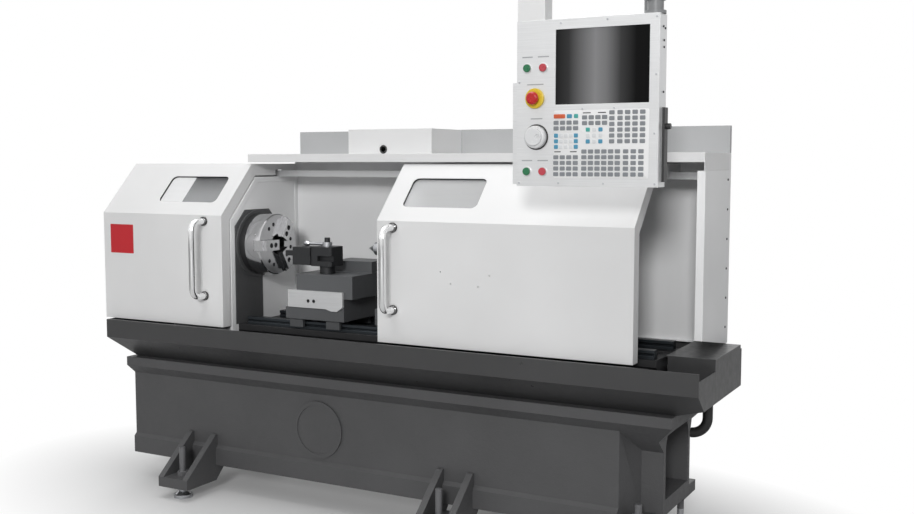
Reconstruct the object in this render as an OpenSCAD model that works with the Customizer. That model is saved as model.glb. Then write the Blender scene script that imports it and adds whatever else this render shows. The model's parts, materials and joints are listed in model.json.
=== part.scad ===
// CNC turning lathe: cast base, chip pan, sliding hood doors, chuck, carriage, tailstock and pendant.
// Sizes in mm. Every piece is drawn from the pan's front left corner on the floor, and place()
// moves it to the bottom centre of the whole machine.

/* [Base casting] */
// Left end of the base
base_x0 = 55; // [45:1:70]
// Length of the narrow neck beyond the full-width wall
neck_l = 123; // [100:1:140]
// Overhang of the rim beyond the neck
rim_end = 70; // [55:1:80]
// Overhang of the pan beyond the rim
pan_end = 100; // [90:1:120]
// Front face of the wall
wall_y0 = 100; // [95:1:105]
// Width over the walls
wall_w = 407; // [395:1:420]
// Overhang of the rim beyond the walls
rim_out = 45; // [35:1:50]
// Underside of the casting above the floor
base_z0 = 112; // [105:1:118]
// Top of the casting above the floor
base_top = 530; // [525:1:535]
// Centre of the left foot brackets
foot_x1 = 430; // [400:1:460]
// Centre of the middle foot brackets
foot_x2 = 1617; // [1580:1:1650]
// Centre of the end feet before the neck's end
foot_in = 57; // [50:1:65]
// Width of a foot bracket
foot_w = 150; // [140:1:170]

/* [Chip pan] */
// Length of the pan
pan_l = 2530; // [2505:1:2560]
// Depth of the pan
pan_d = 544; // [538:1:550]
// Top of the pan above the floor
pan_top = 693; // [685:1:700]
// Height of the straight lip
lip_h = 75; // [60:1:90]
// Thickness of the pan's sheet
pan_t = 3; // [2:0.5:4]
// Length of the end cover
end_l = 167; // [160:1:175]
// Room between the end cover and the long axis motor
end_room = 10; // [5:1:15]
// Top of the end cover
end_top = 708; // [704:1:715]

/* [Bed] */
// Top of the bed above the floor
bed_top = 700; // [697:1:704]
// Front of the bed
bed_y0 = 125; // [120:1:130]
// Width of the bed
bed_w = 270; // [260:1:280]
// Height of a way rail
rail_h = 30; // [26:1:32]
// Width of a way rail
rail_w = 34; // [30:1:38]

/* [Spindle] */
// Spindle axis behind the pan's front
axis_y = 250; // [247:1:253]
// Spindle axis above the floor
axis_z = 1018; // [1014:1:1022]
// Radius of the chuck
chuck_r = 123; // [115:1:126]
// Length of the chuck
chuck_l = 97; // [90:1:100]
// Radius of the spindle's through bore
bore_r = 38; // [34:1:40]
// Radius of the spindle
spindle_r = 50; // [47:1:54]

/* [Doors and covers] */
// Left end of the left door
left_x0 = -30; // [-40:1:-20]
// Width of the left door
left_w = 636; // [630:1:640]
// Left end of the right door
right_x0 = 1330; // [1320:1:1345]
// Gap between the right door and the side panel's outer face
right_end = 172; // [161:1:190]
// Front plane of the doors
door_y = 29; // [26:1:32]
// Height of the straight front
front_h = 444; // [435:1:452]
// Rise of the slope
slope_h = 203; // [198:1:206]
// Run of the slope
slope_d = 193; // [188:1:198]
// Depth of the folded door edges
fold = 48; // [40:1:50]
// Thickness of the cover sheet
sheet = 2.5; // [2:0.5:3]
// Back panel's front face
back_y = 530; // [526:1:534]
// Right side panel's outer face before the pan's end
side_end = 54; // [50:1:60]
// Left end of the roof
roof_x0 = 593; // [585:1:600]
// Front of the roof
roof_y0 = 214; // [208:1:218]
// Height of the roof's front edge
roof_h = 32; // [28:1:40]
// Width of the windows
win_w = 302; // [270:1:310]
// Height of the windows along the slope
win_h = 141; // [120:1:150]
// Radius of the windows' corners
win_r = 22; // [15:1:30]

/* [Carriage and tailstock] */
// Left end of the saddle
saddle_x0 = 855; // [850:1:862]
// Length of the saddle
saddle_l = 250; // [240:1:255]
// Left end of the cross slide
cross_x0 = 907; // [902:1:912]
// Length of the cross slide
cross_l = 260; // [250:1:262]
// Tip of the live centre
tip_x = 1152; // [1150:1:1160]
// Radius of the quill
quill_r = 31; // [28:1:34]

/* [Pendant] */
// Left side of the pendant before the pan's end
pend_end = 553; // [545:1:560]
// Width of the pendant
pend_w = 462; // [455:1:470]
// Underside of the pendant
pend_z0 = 1276; // [1270:1:1282]
// Height of the pendant
pend_h = 513; // [508:1:518]
// Front face of the pendant, before the pan's front
pend_y = 163; // [158:1:168]
// Depth of the pendant
pend_d = 68; // [62:1:74]
// Radius of the drop tube
tube_r = 24; // [22:1:26]

/* [Cabinet and boom] */
// Left end of the cabinet
cab_x0 = 623; // [615:1:630]
// Depth of the cabinet
cab_d = 345; // [330:1:360]
// Top of the cabinet above the floor
cab_top = 1479; // [1470:1:1490]
// Underside of the cabinet above the floor
cab_z0 = 770; // [765:1:780]
// Right end of the cabinet before the side panel's face
cab_end = 106; // [95:1:120]
// Boom post before the side panel's face
post_end = 366; // [356:1:376]
// Boom post behind the pan's front
post_y = 750; // [740:1:760]
// Radius of the boom post
post_r = 27; // [25:1:29]
// Underside of the boom
boom_z0 = 1972; // [1965:1:1985]

/* [Hidden] */
$fn = 48;

// Shared clearances: cutting overrun, moving gap, running fit
over = 2;
gap = 0.4;

// Places that follow the pan's length
rim_x1 = pan_l - pan_end;
neck_x1 = rim_x1 - rim_end;
base_x1 = neck_x1 - neck_l;
foot_x3 = neck_x1 - foot_in;
side_x1 = pan_l - side_end;
right_w = side_x1 - right_end - right_x0;
pend_x0 = pan_l - pend_end;
cab_x1 = side_x1 - cab_end;
post_x = side_x1 - post_end;
run = 0.05;

// Base casting
wall_y1 = wall_y0 + wall_w;
rim_y0 = wall_y0 - rim_out;
rim_y1 = wall_y1 + rim_out;
rim_h = 36;
rim_z0 = base_top - rim_h;
rim_slope_share = 0.84;
slope_z = rim_z0 - rim_out * rim_slope_share;
flange_h = 69;
flange_out = 13;
neck_in = 100;
neck_y0 = wall_y0 + neck_in;
neck_rise = 38;
neck_z0 = base_z0 + neck_rise;
neck_step = 45;
neck_slope_share = 0.83;
neck_slope_z = rim_z0 - (neck_y0 - rim_y0) * neck_slope_share;
recess_wall = 22;
recess_y0 = neck_y0 + recess_wall;
recess_y1 = wall_y1 - recess_wall;
recess_floor = 55;
recess_z0 = neck_z0 + recess_floor;
recess_h = 235;
recess_z1 = recess_z0 + recess_h;
recess_l = 260;
recess_r = 60;
boss_at = 955;
boss_x = base_x0 + boss_at;
boss_up = 205;
boss_z = base_z0 + boss_up;
boss_r = 112;
boss_in = 96;
boss_h = 7;
foot_out = 187;
foot_drop = 63;
foot_z0 = base_z0 - foot_drop;
foot_t = 40;
foot_web = 26;
foot_rise = 126;
foot_top = base_z0 + foot_rise;
foot_back = 50;
foot_chamfer = 12;
end_foot_drop = 28;
end_foot_z0 = neck_z0 - end_foot_drop;
end_foot_out = 150;
screw_in = 59;
screw_r = 13;
end_screw_y = 90;
mid_y = wall_y0 + wall_w / 2;

// Levelling feet
foot_pad_r = 38;
foot_pad_h = 14;
foot_cone_h = 12;
pad_cone_share = 0.8;
foot_neck_r = 16;
foot_nut_r = 22;
foot_nut_h = 18;
screw_above = 116;
end_screw_above = 53;

// Chip pan
pan_in = 98;
pan_left_in = 75;
pan_end_rise = 30;
pan_end_z = base_top + pan_end_rise;
notch_h = 26;
notch_z = pan_top - notch_h;
hem = 12;
pan_back_h = 29;
drain_at = 22;
drain_x = rim_x1 + drain_at;
drain_behind = 5;
drain_y = bed_y0 + bed_w + drain_behind;
drain_r = 18;
drain_bend = 58;
drain_t = 3;
drain_drop = 67;
drain_z1 = base_top + pan_end_rise * drain_at / (pan_l - rim_x1) + pan_t;

// Bed and ways
cover_x0 = 300;
bulk_x1 = left_x0 + left_w;
bed_start = 10;
bed_x0 = cover_x0 + bed_start;
bed_end = 8;
bed_x1 = neck_x1 - bed_end;
bed_foot = 34;
bed_lip = 24;
way_in = 30;
way_start = 34;
way_end = 12;
way_x0 = bulk_x1 + way_start;
way_x1 = bed_x1 - way_end;
way_y0 = bed_y0 + way_in;
way_y1 = bed_y0 + bed_w - way_in;
motor_foot_y0 = bed_y0 + bed_w + gap;
way_notch = 5;
way_shares = [0.35, 0.5, 0.65];
way_top = bed_top + rail_h;
trough_w = 96;
trough_h = 90;
screw_y = bed_y0 + bed_w / 2;
screw_down = 38;
screw_z = bed_top - screw_down;
ball_r = 16;
journal_r = 11;
block_l = 36;
zmotor_w = 110;
end_y0 = screw_y - zmotor_w / 2 - end_room;
zmotor_down = 46;
zmotor_up = 42;
zmotor_l = 112;
zmotor_gap = 38;
zmotor_foot = 44;
zmotor_x0 = bed_x1 + zmotor_gap;
coupling_r = 22;
coupling_l = 30;

// Headstock and spindle
head_l = 223;
head_proud = 2;
head_x1 = bulk_x1 + head_proud;
head_x0 = head_x1 - head_l;
head_half = 140;
head_chamfer = 62;
head_top = axis_z + head_half;
head_down = 128;
head_low = axis_z - head_down;
head_waist = 30;
ring_r = 137;
ring_l = 5;
ring_in = 82;
bearing_r = 75;
bearing_l = 46;
bearing_inset = 24;
spindle_start = 6;
spindle_x0 = cover_x0 + spindle_start;
nose_r = 78;
nose_l = 17;
chuck_gap = 2;
chuck_x0 = head_x1 + ring_l + chuck_gap;
chuck_x1 = chuck_x0 + chuck_l;
chuck_bevel = 4;
chuck_bore = 42;
jaw_w = 42;
jaw_in = 25;
jaw_out = 118;
jaw_slot = 30;
jaw_turn_shares = [0.5, 0.8333333333, 0.1666666667];
jaw_rise = 27;
jaw_low = 11;
jaw_step = 82;
jaw_hole_r = 7;
jaw_head_r = 10;
jaw_head_h = 17;
jaw_hole_1 = 48;
jaw_hole_2 = 76;
face_hole_r = 8;
face_hole_d = 22;
face_hole_at = 86;
face_hole_turn_share = 0.0306;
nipple_r = 4;
nipple_turn_share = 0.444;
pulley_start = 25;
pulley_x0 = cover_x0 + pulley_start;
pulley_l = 45;
pulley_r = 85;
pulley_rim = 4;
belt_t = 8;
belt_in = 5;
motor_back = 202;
motor_down = 206;
motor_y = axis_y + motor_back;
motor_z = axis_z - motor_down;
motor_r = 64;
motor_start = 7;
motor_x0 = head_x0 + motor_start;
motor_l = 200;
motor_flange = 10;
motor_pulley_r = 50;
motor_shaft_r = 14;
motor_shaft_l = 40;
fin_n = 8;
fin_w = 6;
fin_d = 5;

// Doors and covers
door_lift = 4;
door_z0 = pan_top + door_lift;
knee_z = door_z0 + front_h;
door_top = knee_z + slope_h;
hood_gap = 12;
hood_y1 = back_y - hood_gap;
slope_l = sqrt(slope_d * slope_d + slope_h * slope_h);
slope_a = atan2(slope_h, slope_d);
win_s = 68;
left_win_at = 262;
right_win_at = 76;
left_win_x = left_x0 + left_win_at;
right_win_x = right_x0 + right_win_at;
pane_t = 5;
pane_lap = 14;
pane_seat = 7;
pane_seat_in = 4;
handle_left_at = 89;
handle_right_at = 68;
handle_left_x = left_x0 + left_w - handle_left_at;
handle_right_x = right_x0 + handle_right_at;
handle_up = 122;
handle_l = 298;
handle_z0 = door_z0 + handle_up;
handle_z1 = handle_z0 + handle_l;
handle_out = 74;
handle_r = 13;
handle_bend = 36;
handle_ring_r = 18;
handle_ring_h = 8;
bolt_r = 2.5;
bolt_xs = [262, 304, 412, 456];
bolt_zs = [269, 229, 224, 265];
cover_gap = 5;
cover_in = fold + cover_gap;
cover_drop = 53;
cover_z0 = pan_top - cover_drop;
cover_top = door_top - cover_in;
border_w = 22;
bar_hole_r = 62;
cover_leg = 118;
cover_leg_y = back_y - cover_leg;
back_rise = 15;
back_z0 = pan_top + back_rise;
back_foot = 18;
back_flange = 20;
side_in = 10;
side_y0 = roof_y0 + side_in;
side_lip = 27;
side_rise = 52;
side_z0 = end_top + side_rise;
rail_in = 130;
rail_y = back_y - rail_in;
slide_w = 20;
slide_h = 26;
slide_gap = 1;
slide_x1 = side_x1 - side_lip - slide_gap;
slide_top = cover_top + slide_h;
arm_w = 40;
arm_t = 4;
arm_shares = [0.051, 0.377, 0.675, 0.974];
shoe_l = 60;
shoe_lip = 9;
shoe_drop = 12;
left_shoe_xs = [348, 558];
right_shoe_in = 70;
right_shoe_end = 124;
right_shoe_xs = [right_shoe_in, right_w - right_shoe_end];
roof_gap = 7;
roof_z0 = door_top + roof_gap;
roof_top = roof_z0 + roof_h;
skirt_h = 60;
side_top = roof_top - skirt_h;

// Control cabinet, junction box and boom
cab_y0 = back_y + sheet;
cab_y1 = cab_y0 + cab_d;
cab_t = 2.5;
cab_lip = 30;
leg_in = 197;
leg_w = 70;
leg_xs = [leg_in, cab_x1 - cab_x0 - leg_in - leg_w];
leg_d = 42;
cab_door_at = 507;
cab_door_x0 = cab_x0 + cab_door_at;
cab_door_end = 340;
cab_door_w = cab_x1 - cab_door_end - cab_door_x0;
cab_door_h = 620;
cab_door_up = 45;
cab_door_z0 = cab_z0 + cab_door_up;
hinge_r = 7;
pin_r = 4;
hinge_l = 40;
hinge_ups = [80, 460];
latch_r = 16;
latch_h = 7;
plate_in = 60;
plate_t = 4;
module_d = 150;
module_h = 300;
module_w = 95;
module_pitch = 140;
module_at = 60;
module_n = floor((cab_door_w - module_at) / module_pitch);
module_up = 210;
module_x0 = cab_door_x0 + module_at;
module_z0 = cab_door_z0 + module_up;
trunk_h = 60;
trunk_d = 60;
trunk_up = 80;
trunk_z = cab_door_z0 + trunk_up;
jbox_at = 441;
jbox_l = 376;
jbox_in = 76;
jbox_h = 95;
jbox_x0 = roof_x0 + jbox_at;
jbox_y0 = roof_y0 + jbox_in;
jbox_top = roof_top + jbox_h;
grommet_at = 162;
grommet_up = 17;
grommet_r = 14;
post_flange = 66;
post_flange_t = 10;
boom_h = 56;
boom_w = 56;
hub_r = 46;
boom_pin_r = 20;
cap_h = 12;
collar_h = 20;
collar_r = 32;

// Carriage
truck_l = 62;
truck_w = 66;
truck_in = 8;
truck_lift = 8;
truck_cap = 12;
truck_z0 = bed_top + truck_lift;
saddle_z0 = way_top + gap + truck_cap;
saddle_h = 46;
saddle_lap = 17;
saddle_y0 = bed_y0 - saddle_lap;
saddle_w = 316;
saddle_y1 = saddle_y0 + saddle_w;
upper_at = 21;
upper_x0 = saddle_x0 + upper_at;
upper_l = 252;
upper_h = 42;
upper_z1 = saddle_z0 + saddle_h + upper_h;
tail_w = 130;
tail_h = 22;
tail_cut = 16;
nut_w = 70;
nut_l = 90;
wiper_at = 20;
wiper_x0 = saddle_x0 + wiper_at;
wiper_l = 255;
wiper_up = 48;
wiper_z0 = saddle_z0 + wiper_up;
wiper_h = 67;
wiper_t = 12;
wiper_hole_r = 7;
wiper_hole_d = 8;
wiper_hole_up = 27;
wiper_holes = [96, 122];
wiper_notch = 26;
wiper_tab = 7;
wiper_step = 10;
cross_in = 1;
cross_y0 = saddle_y0 + cross_in;
cross_d = 263;
cross_y1 = cross_y0 + cross_d;
cross_h = 90;
cross_z1 = upper_z1 + gap + cross_h;
xcover_at = 80;
xcover_l = 177;
xcover_in = 141;
xcover_h = 44;
xcover_x0 = cross_x0 + xcover_at;
xcover_x1 = xcover_x0 + xcover_l;
xcover_y0 = cross_y0 + xcover_in;
post_base_r = 30;
post_base_h = 30;
tpost_at = 61;
tpost_in = 13;
tpost_s = 92;
tpost_h = 75;
tpost_x0 = cross_x0 + tpost_at;
tpost_y0 = cross_y0 + tpost_in;
tpost_z0 = cross_z1 + post_base_h;
tpost_z1 = tpost_z0 + tpost_h;
tpost_bevel = 8;
stud_r = 11;
stud_h = 34;
holder_l = 84;
holder_in = 9;
holder_d = 78;
holder_step = 3;
holder_x0 = tpost_x0 - holder_l;
holder_y0 = cross_y0 + holder_in;
holder_z0 = tpost_z0 + holder_step;
holder_z1 = tpost_z1 - holder_step;
tool_s = 20;
tool_out = 34;
tool_up = 57;
insert_out = 8;
tool_z = tpost_z0 + tool_up;
setscrew_r = 6;
setscrew_n = 3;
lever_r = 19;
lever_h = 16;
lever_l = 96;
lever_bar_r = 6;
lever_knob_r = 11;
lever_knob_l = 27;
knob_end_share = 0.6;

// Tailstock
ts_at = 116;
ts_x0 = tip_x + ts_at;
ts_l = 190;
ts_base_h = 62;
ts_col_w = 116;
ts_col_l = 150;
ts_barrel_r = 60;
ts_barrel_at = 98;
ts_barrel_x0 = tip_x + ts_barrel_at;
ts_barrel_l = 222;
quill_at = 62;
quill_x0 = tip_x + quill_at;
quill_l = 218;
centre_r = 25;
centre_cone_r = 20;
centre_turn_share = 0.0833333333;
shank_r = 12;
shank_l = 50;
wheel_gap = 8;
wheel_x0 = ts_barrel_x0 + ts_barrel_l + wheel_gap;
wheel_t = 18;
wheel_dish = 7;
wheel_r = 80;
wheel_rim = 14;
wheel_hub_r = 22;
wheel_hole_n = 3;
wheel_hole_r = 15;
wheel_hole_at = 44;
wheel_knob_r = 10;
wheel_knob_l = 46;
nut_screw_r = 10;
nut_screw_l = 86;
nut_screw_in = 70;
quill_hole = 100;

// Pendant
face_t = 3;
pend_top = pend_z0 + pend_h;
pend_x1 = pend_x0 + pend_w;
pend_y0 = -pend_y;
pend_wall = 3;
drop_in = 25;
drop_x = pend_x1 - drop_in;
drop_y = pend_y0 + pend_d / 2;
scr_at = 131;
scr_up = 252;
scr_x0 = pend_x0 + scr_at;
scr_z0 = pend_z0 + scr_up;
scr_w = 301;
scr_h = 229;
scr_t = 4;
keys_at = 127;
keys_up = 26;
keys_x0 = pend_x0 + keys_at;
keys_z0 = pend_z0 + keys_up;
keys_w = 306;
keys_h = 208;
keys_t = 1;
key_w = 15;
key_h = 12;
key_rise = 1.2;
key_px = 21.6;
key_pz = 17.4;
// Blocks of keys: first key's middle as shares of the field, columns, rows, share of the pitch across
key_block_shares = [[0.032, 0.06, 4, 4, 1], [0.032, 0.46, 5, 3, 0.76], [0.032, 0.73, 4, 2, 1],
  [0.062, 0.91, 1, 1, 1], [0.17, 0.91, 2, 1, 1], [0.33, 0.06, 6, 5, 1], [0.768, 0.06, 3, 5, 1.1],
  [0.369, 0.535, 3, 3, 0.95], [0.333, 0.81, 4, 2, 1], [0.621, 0.535, 1, 6, 1], [0.706, 0.535, 4, 6, 1.09]];
btn_at = 36;
btn_pitch = 54;
btn_up = 46;
btn_top_up = 367;
btn_left_x = pend_x0 + btn_at;
btn_right_x = btn_left_x + btn_pitch;
btn_top_z = pend_z0 + btn_top_up;
btn_low_z = pend_z0 + btn_up;
btn_r = 12;
btn_out = 9;
btn_bezel_r = 15;
btn_bezel_h = 4;
btn_seat = 5;
stop_at = 63;
stop_up = 273;
stop_x = pend_x0 + stop_at;
stop_z = pend_z0 + stop_up;
stop_r = 20;
stop_head = 18;
stop_edge = 5;
stop_stem_r = 11;
stop_stem = 14;
jog_at = 68;
jog_up = 153;
jog_x = pend_x0 + jog_at;
jog_z = pend_z0 + jog_up;
jog_r = 35;
jog_h = 20;
jog_top_r = 27;
jog_top_h = 8;
jog_edge = 4;
jog_dish_r = 7;
side_box_w = 18;
side_box_h = 318;
side_box_d = 52;
side_box_up = 6;
strip_w = 9;
strip_d = 30;
strip_h = 222;
strip_up = 16;
strip_knob_r = 9;
strip_knob_l = 14;
strip_knob_up = 166;
acc_w = 93;
acc_d = 58;
acc_h = 92;
travel = 6;

// Whole machine, for the move to its bottom centre
all_x0 = left_x0;
all_x1 = pan_l;
all_y0 = -pend_y - max(stop_stem + stop_head, jog_h + jog_top_h + gap);
all_y1 = cab_y1 + 2 * hinge_r;
shift = [-(all_x0 + all_x1) / 2, -(all_y0 + all_y1) / 2, 0];

module place() { translate(shift) children(); }
module block(a, b) { translate(a) cube(b - a); }
module along_x(x, l) { translate([x, 0, 0]) rotate([90, 0, 90]) linear_extrude(l) children(); }
module along_y(y, l) { translate([0, y + l, 0]) rotate([90, 0, 0]) linear_extrude(l) children(); }
module rod_x(x, y, z, l, r) { translate([x, y, z]) rotate([0, 90, 0]) cylinder(h = l, r = r); }
module rod_y(x, y, z, l, r) { translate([x, y, z]) rotate([-90, 0, 0]) cylinder(h = l, r = r); }
module rod_z(x, y, z, l, r) { translate([x, y, z]) cylinder(h = l, r = r); }
module mirror_y() { translate([0, 2 * mid_y, 0]) mirror([0, 1, 0]) children(); }
module rounded(w, h, r) {
  translate([r, 0]) square([w - 2 * r, h]);
  translate([0, r]) square([w, h - 2 * r]);
  for (x = [r, w - r], y = [r, h - r]) translate([x, y]) circle(r);
}

// Hood outline moved inwards by i, from the front's foot over the slope to the top's rear edge
function hood_b(i) = knee_z - i * slope_d / slope_l + (i - i * slope_h / slope_l) * slope_h / slope_d;
function hood_c(i) = door_y + i * slope_h / slope_l
  + (door_top - i - knee_z + i * slope_d / slope_l) * slope_d / slope_h;
function hood(i) = [[door_y + i, door_z0], [door_y + i, hood_b(i)], [hood_c(i), door_top - i],
  [hood_y1, door_top - i]];
module hood_band(i, j) { polygon(concat(hood(i), [for (k = [3:-1:0]) hood(j)[k]])); }
module on_slope(x) {
  translate([x, door_y + win_s * cos(slope_a), knee_z + win_s * sin(slope_a)])
    rotate([slope_a, 0, 0]) children();
}

// Base

module base_profile() {
  polygon([[wall_y0 - flange_out, base_z0], [wall_y0 - flange_out, base_z0 + flange_h],
    [wall_y0, base_z0 + flange_h + flange_out], [wall_y0, slope_z], [rim_y0, rim_z0],
    [rim_y0, base_top], [rim_y1, base_top], [rim_y1, rim_z0], [wall_y1, slope_z],
    [wall_y1, base_z0 + flange_h + flange_out], [wall_y1 + flange_out, base_z0 + flange_h],
    [wall_y1 + flange_out, base_z0]]);
}

module recess_profile() {
  translate([recess_y0, recess_z0]) square([recess_y1 - recess_y0, recess_z1 - recess_z0 - recess_r]);
  translate([recess_y0 + recess_r, recess_z0])
    square([recess_y1 - recess_y0 - 2 * recess_r, recess_z1 - recess_z0]);
  for (y = [recess_y0 + recess_r, recess_y1 - recess_r])
    translate([y, recess_z1 - recess_r]) circle(recess_r);
}

module neck() {
  translate([0, 0, neck_z0]) linear_extrude(rim_z0 - neck_z0)
    polygon([[base_x1 - over, wall_y0], [base_x1, wall_y0], [base_x1 + neck_step, neck_y0],
      [neck_x1, neck_y0], [neck_x1, wall_y1], [base_x1 - over, wall_y1]]);
  intersection() {
    along_x(base_x1 - over, rim_x1 - base_x1 + over)
      polygon([[rim_y0, base_top], [rim_y0, rim_z0], [neck_y0, neck_slope_z], [wall_y1, neck_slope_z],
        [rim_y1, rim_z0], [rim_y1, base_top]]);
    along_y(rim_y0, rim_y1 - rim_y0)
      polygon([[base_x1 - over, base_top], [rim_x1, base_top], [rim_x1, rim_z0],
        [neck_x1, rim_z0 - (rim_x1 - neck_x1)], [neck_x1, neck_z0], [base_x1 - over, neck_z0]]);
  }
}

module foot_bracket(x) {
  for (w = [x - foot_w / 2, x + foot_w / 2 - foot_web])
    along_x(w, foot_web)
      polygon([[wall_y0 - foot_out, foot_z0], [wall_y0 - foot_out, foot_z0 + foot_t],
        [wall_y0 - foot_chamfer, foot_top], [wall_y0 + over, foot_top], [wall_y0 + over, base_z0 + over],
        [wall_y0 + foot_back, base_z0 + over], [wall_y0 + foot_back, base_z0],
        [wall_y0 - foot_chamfer, foot_z0]]);
  block([x - foot_w / 2, wall_y0 - foot_out, foot_z0],
    [x + foot_w / 2, wall_y0 - foot_chamfer, foot_z0 + foot_t]);
}

module base_feet() {
  foot_bracket(foot_x1);
  foot_bracket(foot_x2);
}

module end_foot(y0, y1) {
  block([foot_x3 - foot_w / 4, y0, end_foot_z0], [foot_x3 + foot_w / 4, y1, end_foot_z0 + foot_t]);
}

module foot_holes() {
  for (x = [foot_x1, foot_x2])
    rod_z(x, wall_y0 - foot_out + screw_in, foot_z0 - over, foot_t + 2 * over, screw_r);
}

module base_casting() {
  color("dimgray") place() difference() {
    union() {
      along_x(base_x0, base_x1 - base_x0) base_profile();
      neck();
      base_feet();
      mirror_y() base_feet();
      end_foot(neck_y0 - end_foot_out, neck_y0 + over);
      end_foot(wall_y1 - over, wall_y1 + end_foot_out);
      rod_y(boss_x, wall_y0 - boss_h, boss_z, boss_h + over, boss_r);
    }
    rod_y(boss_x, wall_y0 - boss_h - over, boss_z, over + boss_h / 2, boss_in);
    along_x(neck_x1 - recess_l, recess_l + rim_end + over) recess_profile();
    foot_holes();
    mirror_y() foot_holes();
    for (y = [neck_y0 - end_screw_y, wall_y1 + end_screw_y])
      rod_z(foot_x3, y, end_foot_z0 - over, foot_t + 2 * over, screw_r);
  }
}

module levelling_foot(x, y, z0, top) {
  rod_z(x, y, 0, foot_pad_h, foot_pad_r);
  translate([x, y, foot_pad_h]) cylinder(h = foot_cone_h, r1 = foot_pad_r * pad_cone_share,
    r2 = foot_neck_r);
  rod_z(x, y, foot_pad_h, top - foot_pad_h, screw_r - gap);
  translate([x, y, z0 - foot_nut_h]) cylinder(h = foot_nut_h, r = foot_nut_r, $fn = 6);
  translate([x, y, z0 + foot_t]) cylinder(h = foot_nut_h, r = foot_nut_r, $fn = 6);
}

module levelling_feet() {
  color("silver") place() {
    for (x = [foot_x1, foot_x2]) {
      levelling_foot(x, wall_y0 - foot_out + screw_in, foot_z0, foot_z0 + foot_t + screw_above);
      levelling_foot(x, wall_y1 + foot_out - screw_in, foot_z0, foot_z0 + foot_t + screw_above);
    }
    levelling_foot(foot_x3, neck_y0 - end_screw_y, end_foot_z0, end_foot_z0 + foot_t + end_screw_above);
    levelling_foot(foot_x3, wall_y1 + end_screw_y, end_foot_z0, end_foot_z0 + foot_t + end_screw_above);
  }
}

// Chip pan and its end

module pan_body(t, up) {
  intersection() {
    along_x(t, pan_l - 2 * t)
      polygon([[t, pan_top + up], [t, pan_top - lip_h + t / 2], [pan_in + t / 2, base_top + t],
        [pan_d - t, base_top + t], [pan_d - t, pan_top + up]]);
    along_y(t, pan_d - 2 * t)
      polygon([[t, pan_top + up], [t, pan_top - lip_h + t / 2], [pan_left_in + t / 2, base_top + t],
        [rim_x1 - t, base_top + t], [pan_l - t, pan_end_z + t], [pan_l - t, pan_top + up]]);
  }
}

module chip_pan() {
  color("#333333") place() difference() {
    union() {
      difference() {
        pan_body(0, 0);
        pan_body(pan_t, over);
      }
      block([pan_t - gap, pan_t - gap, pan_top - pan_t], [pan_l - end_l, hem, pan_top]);
      block([cover_x0, pan_d - pan_t, pan_top - over], [side_x1 - 2 * sheet, pan_d, pan_top + pan_back_h]);
    }
    block([bed_x0 - gap, bed_y0 - gap, base_top - over],
      [bed_x1 + gap, bed_y0 + bed_w + gap, base_top + pan_t + over]);
    block([pan_l - end_l, end_y0 - gap, pan_end_z + pan_t + over],
      [pan_l + over, back_y + gap, pan_top + over]);
    block([pan_l - 2 * pan_t, pan_t, notch_z], [pan_l + over, end_y0, pan_top + over]);
    rod_z(drain_x, drain_y, base_top - over, lip_h, drain_r);
  }
}

module end_cover() {
  z0 = pan_end_z + pan_t + over;
  color("#333333") place() difference() {
    block([pan_l - end_l, end_y0, z0], [pan_l, back_y - gap, end_top]);
    block([pan_l - end_l + pan_t, end_y0 + pan_t, z0 - over],
      [pan_l - pan_t, back_y - gap - pan_t, end_top - pan_t]);
    block([pan_l - end_l - over, bed_y0, z0 - over],
      [pan_l - end_l + pan_t + over, bed_y0 + bed_w + pan_t, end_top - pan_t * 2]);
  }
}

module z_motor() {
  y0 = screw_y - zmotor_w / 2;
  f0 = screw_y - zmotor_foot / 2;
  color("#222222") place() difference() {
    union() {
      block([zmotor_x0, y0, screw_z - zmotor_down], [zmotor_x0 + zmotor_l, y0 + zmotor_w,
        screw_z + zmotor_up]);
      block([bed_x1, f0, base_top + pan_t], [zmotor_x0 + over, f0 + zmotor_foot,
        screw_z - coupling_r - over]);
      block([zmotor_x0, f0, base_top + pan_t],
        [zmotor_x0 + coupling_l, f0 + zmotor_foot, screw_z - zmotor_down + over]);
    }
    rod_x(zmotor_x0 - over, screw_y, screw_z, coupling_l, journal_r + gap);
  }
}

module elbow_solid(r, end) {
  z = base_top - drain_drop;
  rod_z(drain_x, drain_y, z, drain_z1 - z + end, r);
  translate([drain_x - drain_bend, drain_y, z]) rotate([-90, 0, 0])
    rotate_extrude(angle = 90) translate([drain_bend, 0]) circle(r);
}

module drain_elbow() {
  color("#222222") place() difference() {
    elbow_solid(drain_r - gap, 0);
    elbow_solid(drain_r - gap - drain_t, over);
  }
}

// Bed and ways

module bed_casting() {
  y1 = bed_y0 + bed_w;
  color("#5a5d60") place() {
    difference() {
      along_x(bed_x0, bed_x1 - bed_x0)
        polygon([[bed_y0, base_top], [bed_y0, base_top + bed_foot],
          [bed_y0 + bed_lip, base_top + 2 * bed_foot],
          [bed_y0 + bed_lip, bed_top - 2 * bed_lip], [bed_y0, bed_top - bed_lip], [bed_y0, bed_top],
            [y1, bed_top],
          [y1, bed_top - bed_lip], [y1 - bed_lip, bed_top - 2 * bed_lip],
          [y1 - bed_lip, base_top + 2 * bed_foot], [y1, base_top + bed_foot], [y1, base_top]]);
      block([way_x0 - block_l, screw_y - trough_w / 2, bed_top - trough_h],
        [bed_x1 + over, screw_y + trough_w / 2, bed_top + over]);
    }
    difference() {
      for (x = [way_x0 - block_l, bed_x1 - block_l])
        block([x, screw_y - trough_w / 2, bed_top - trough_h],
          [x + block_l, screw_y + trough_w / 2, bed_top - pan_t]);
      rod_x(way_x0 - block_l - over, screw_y, screw_z, bed_x1, journal_r + run);
    }
  }
}

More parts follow.
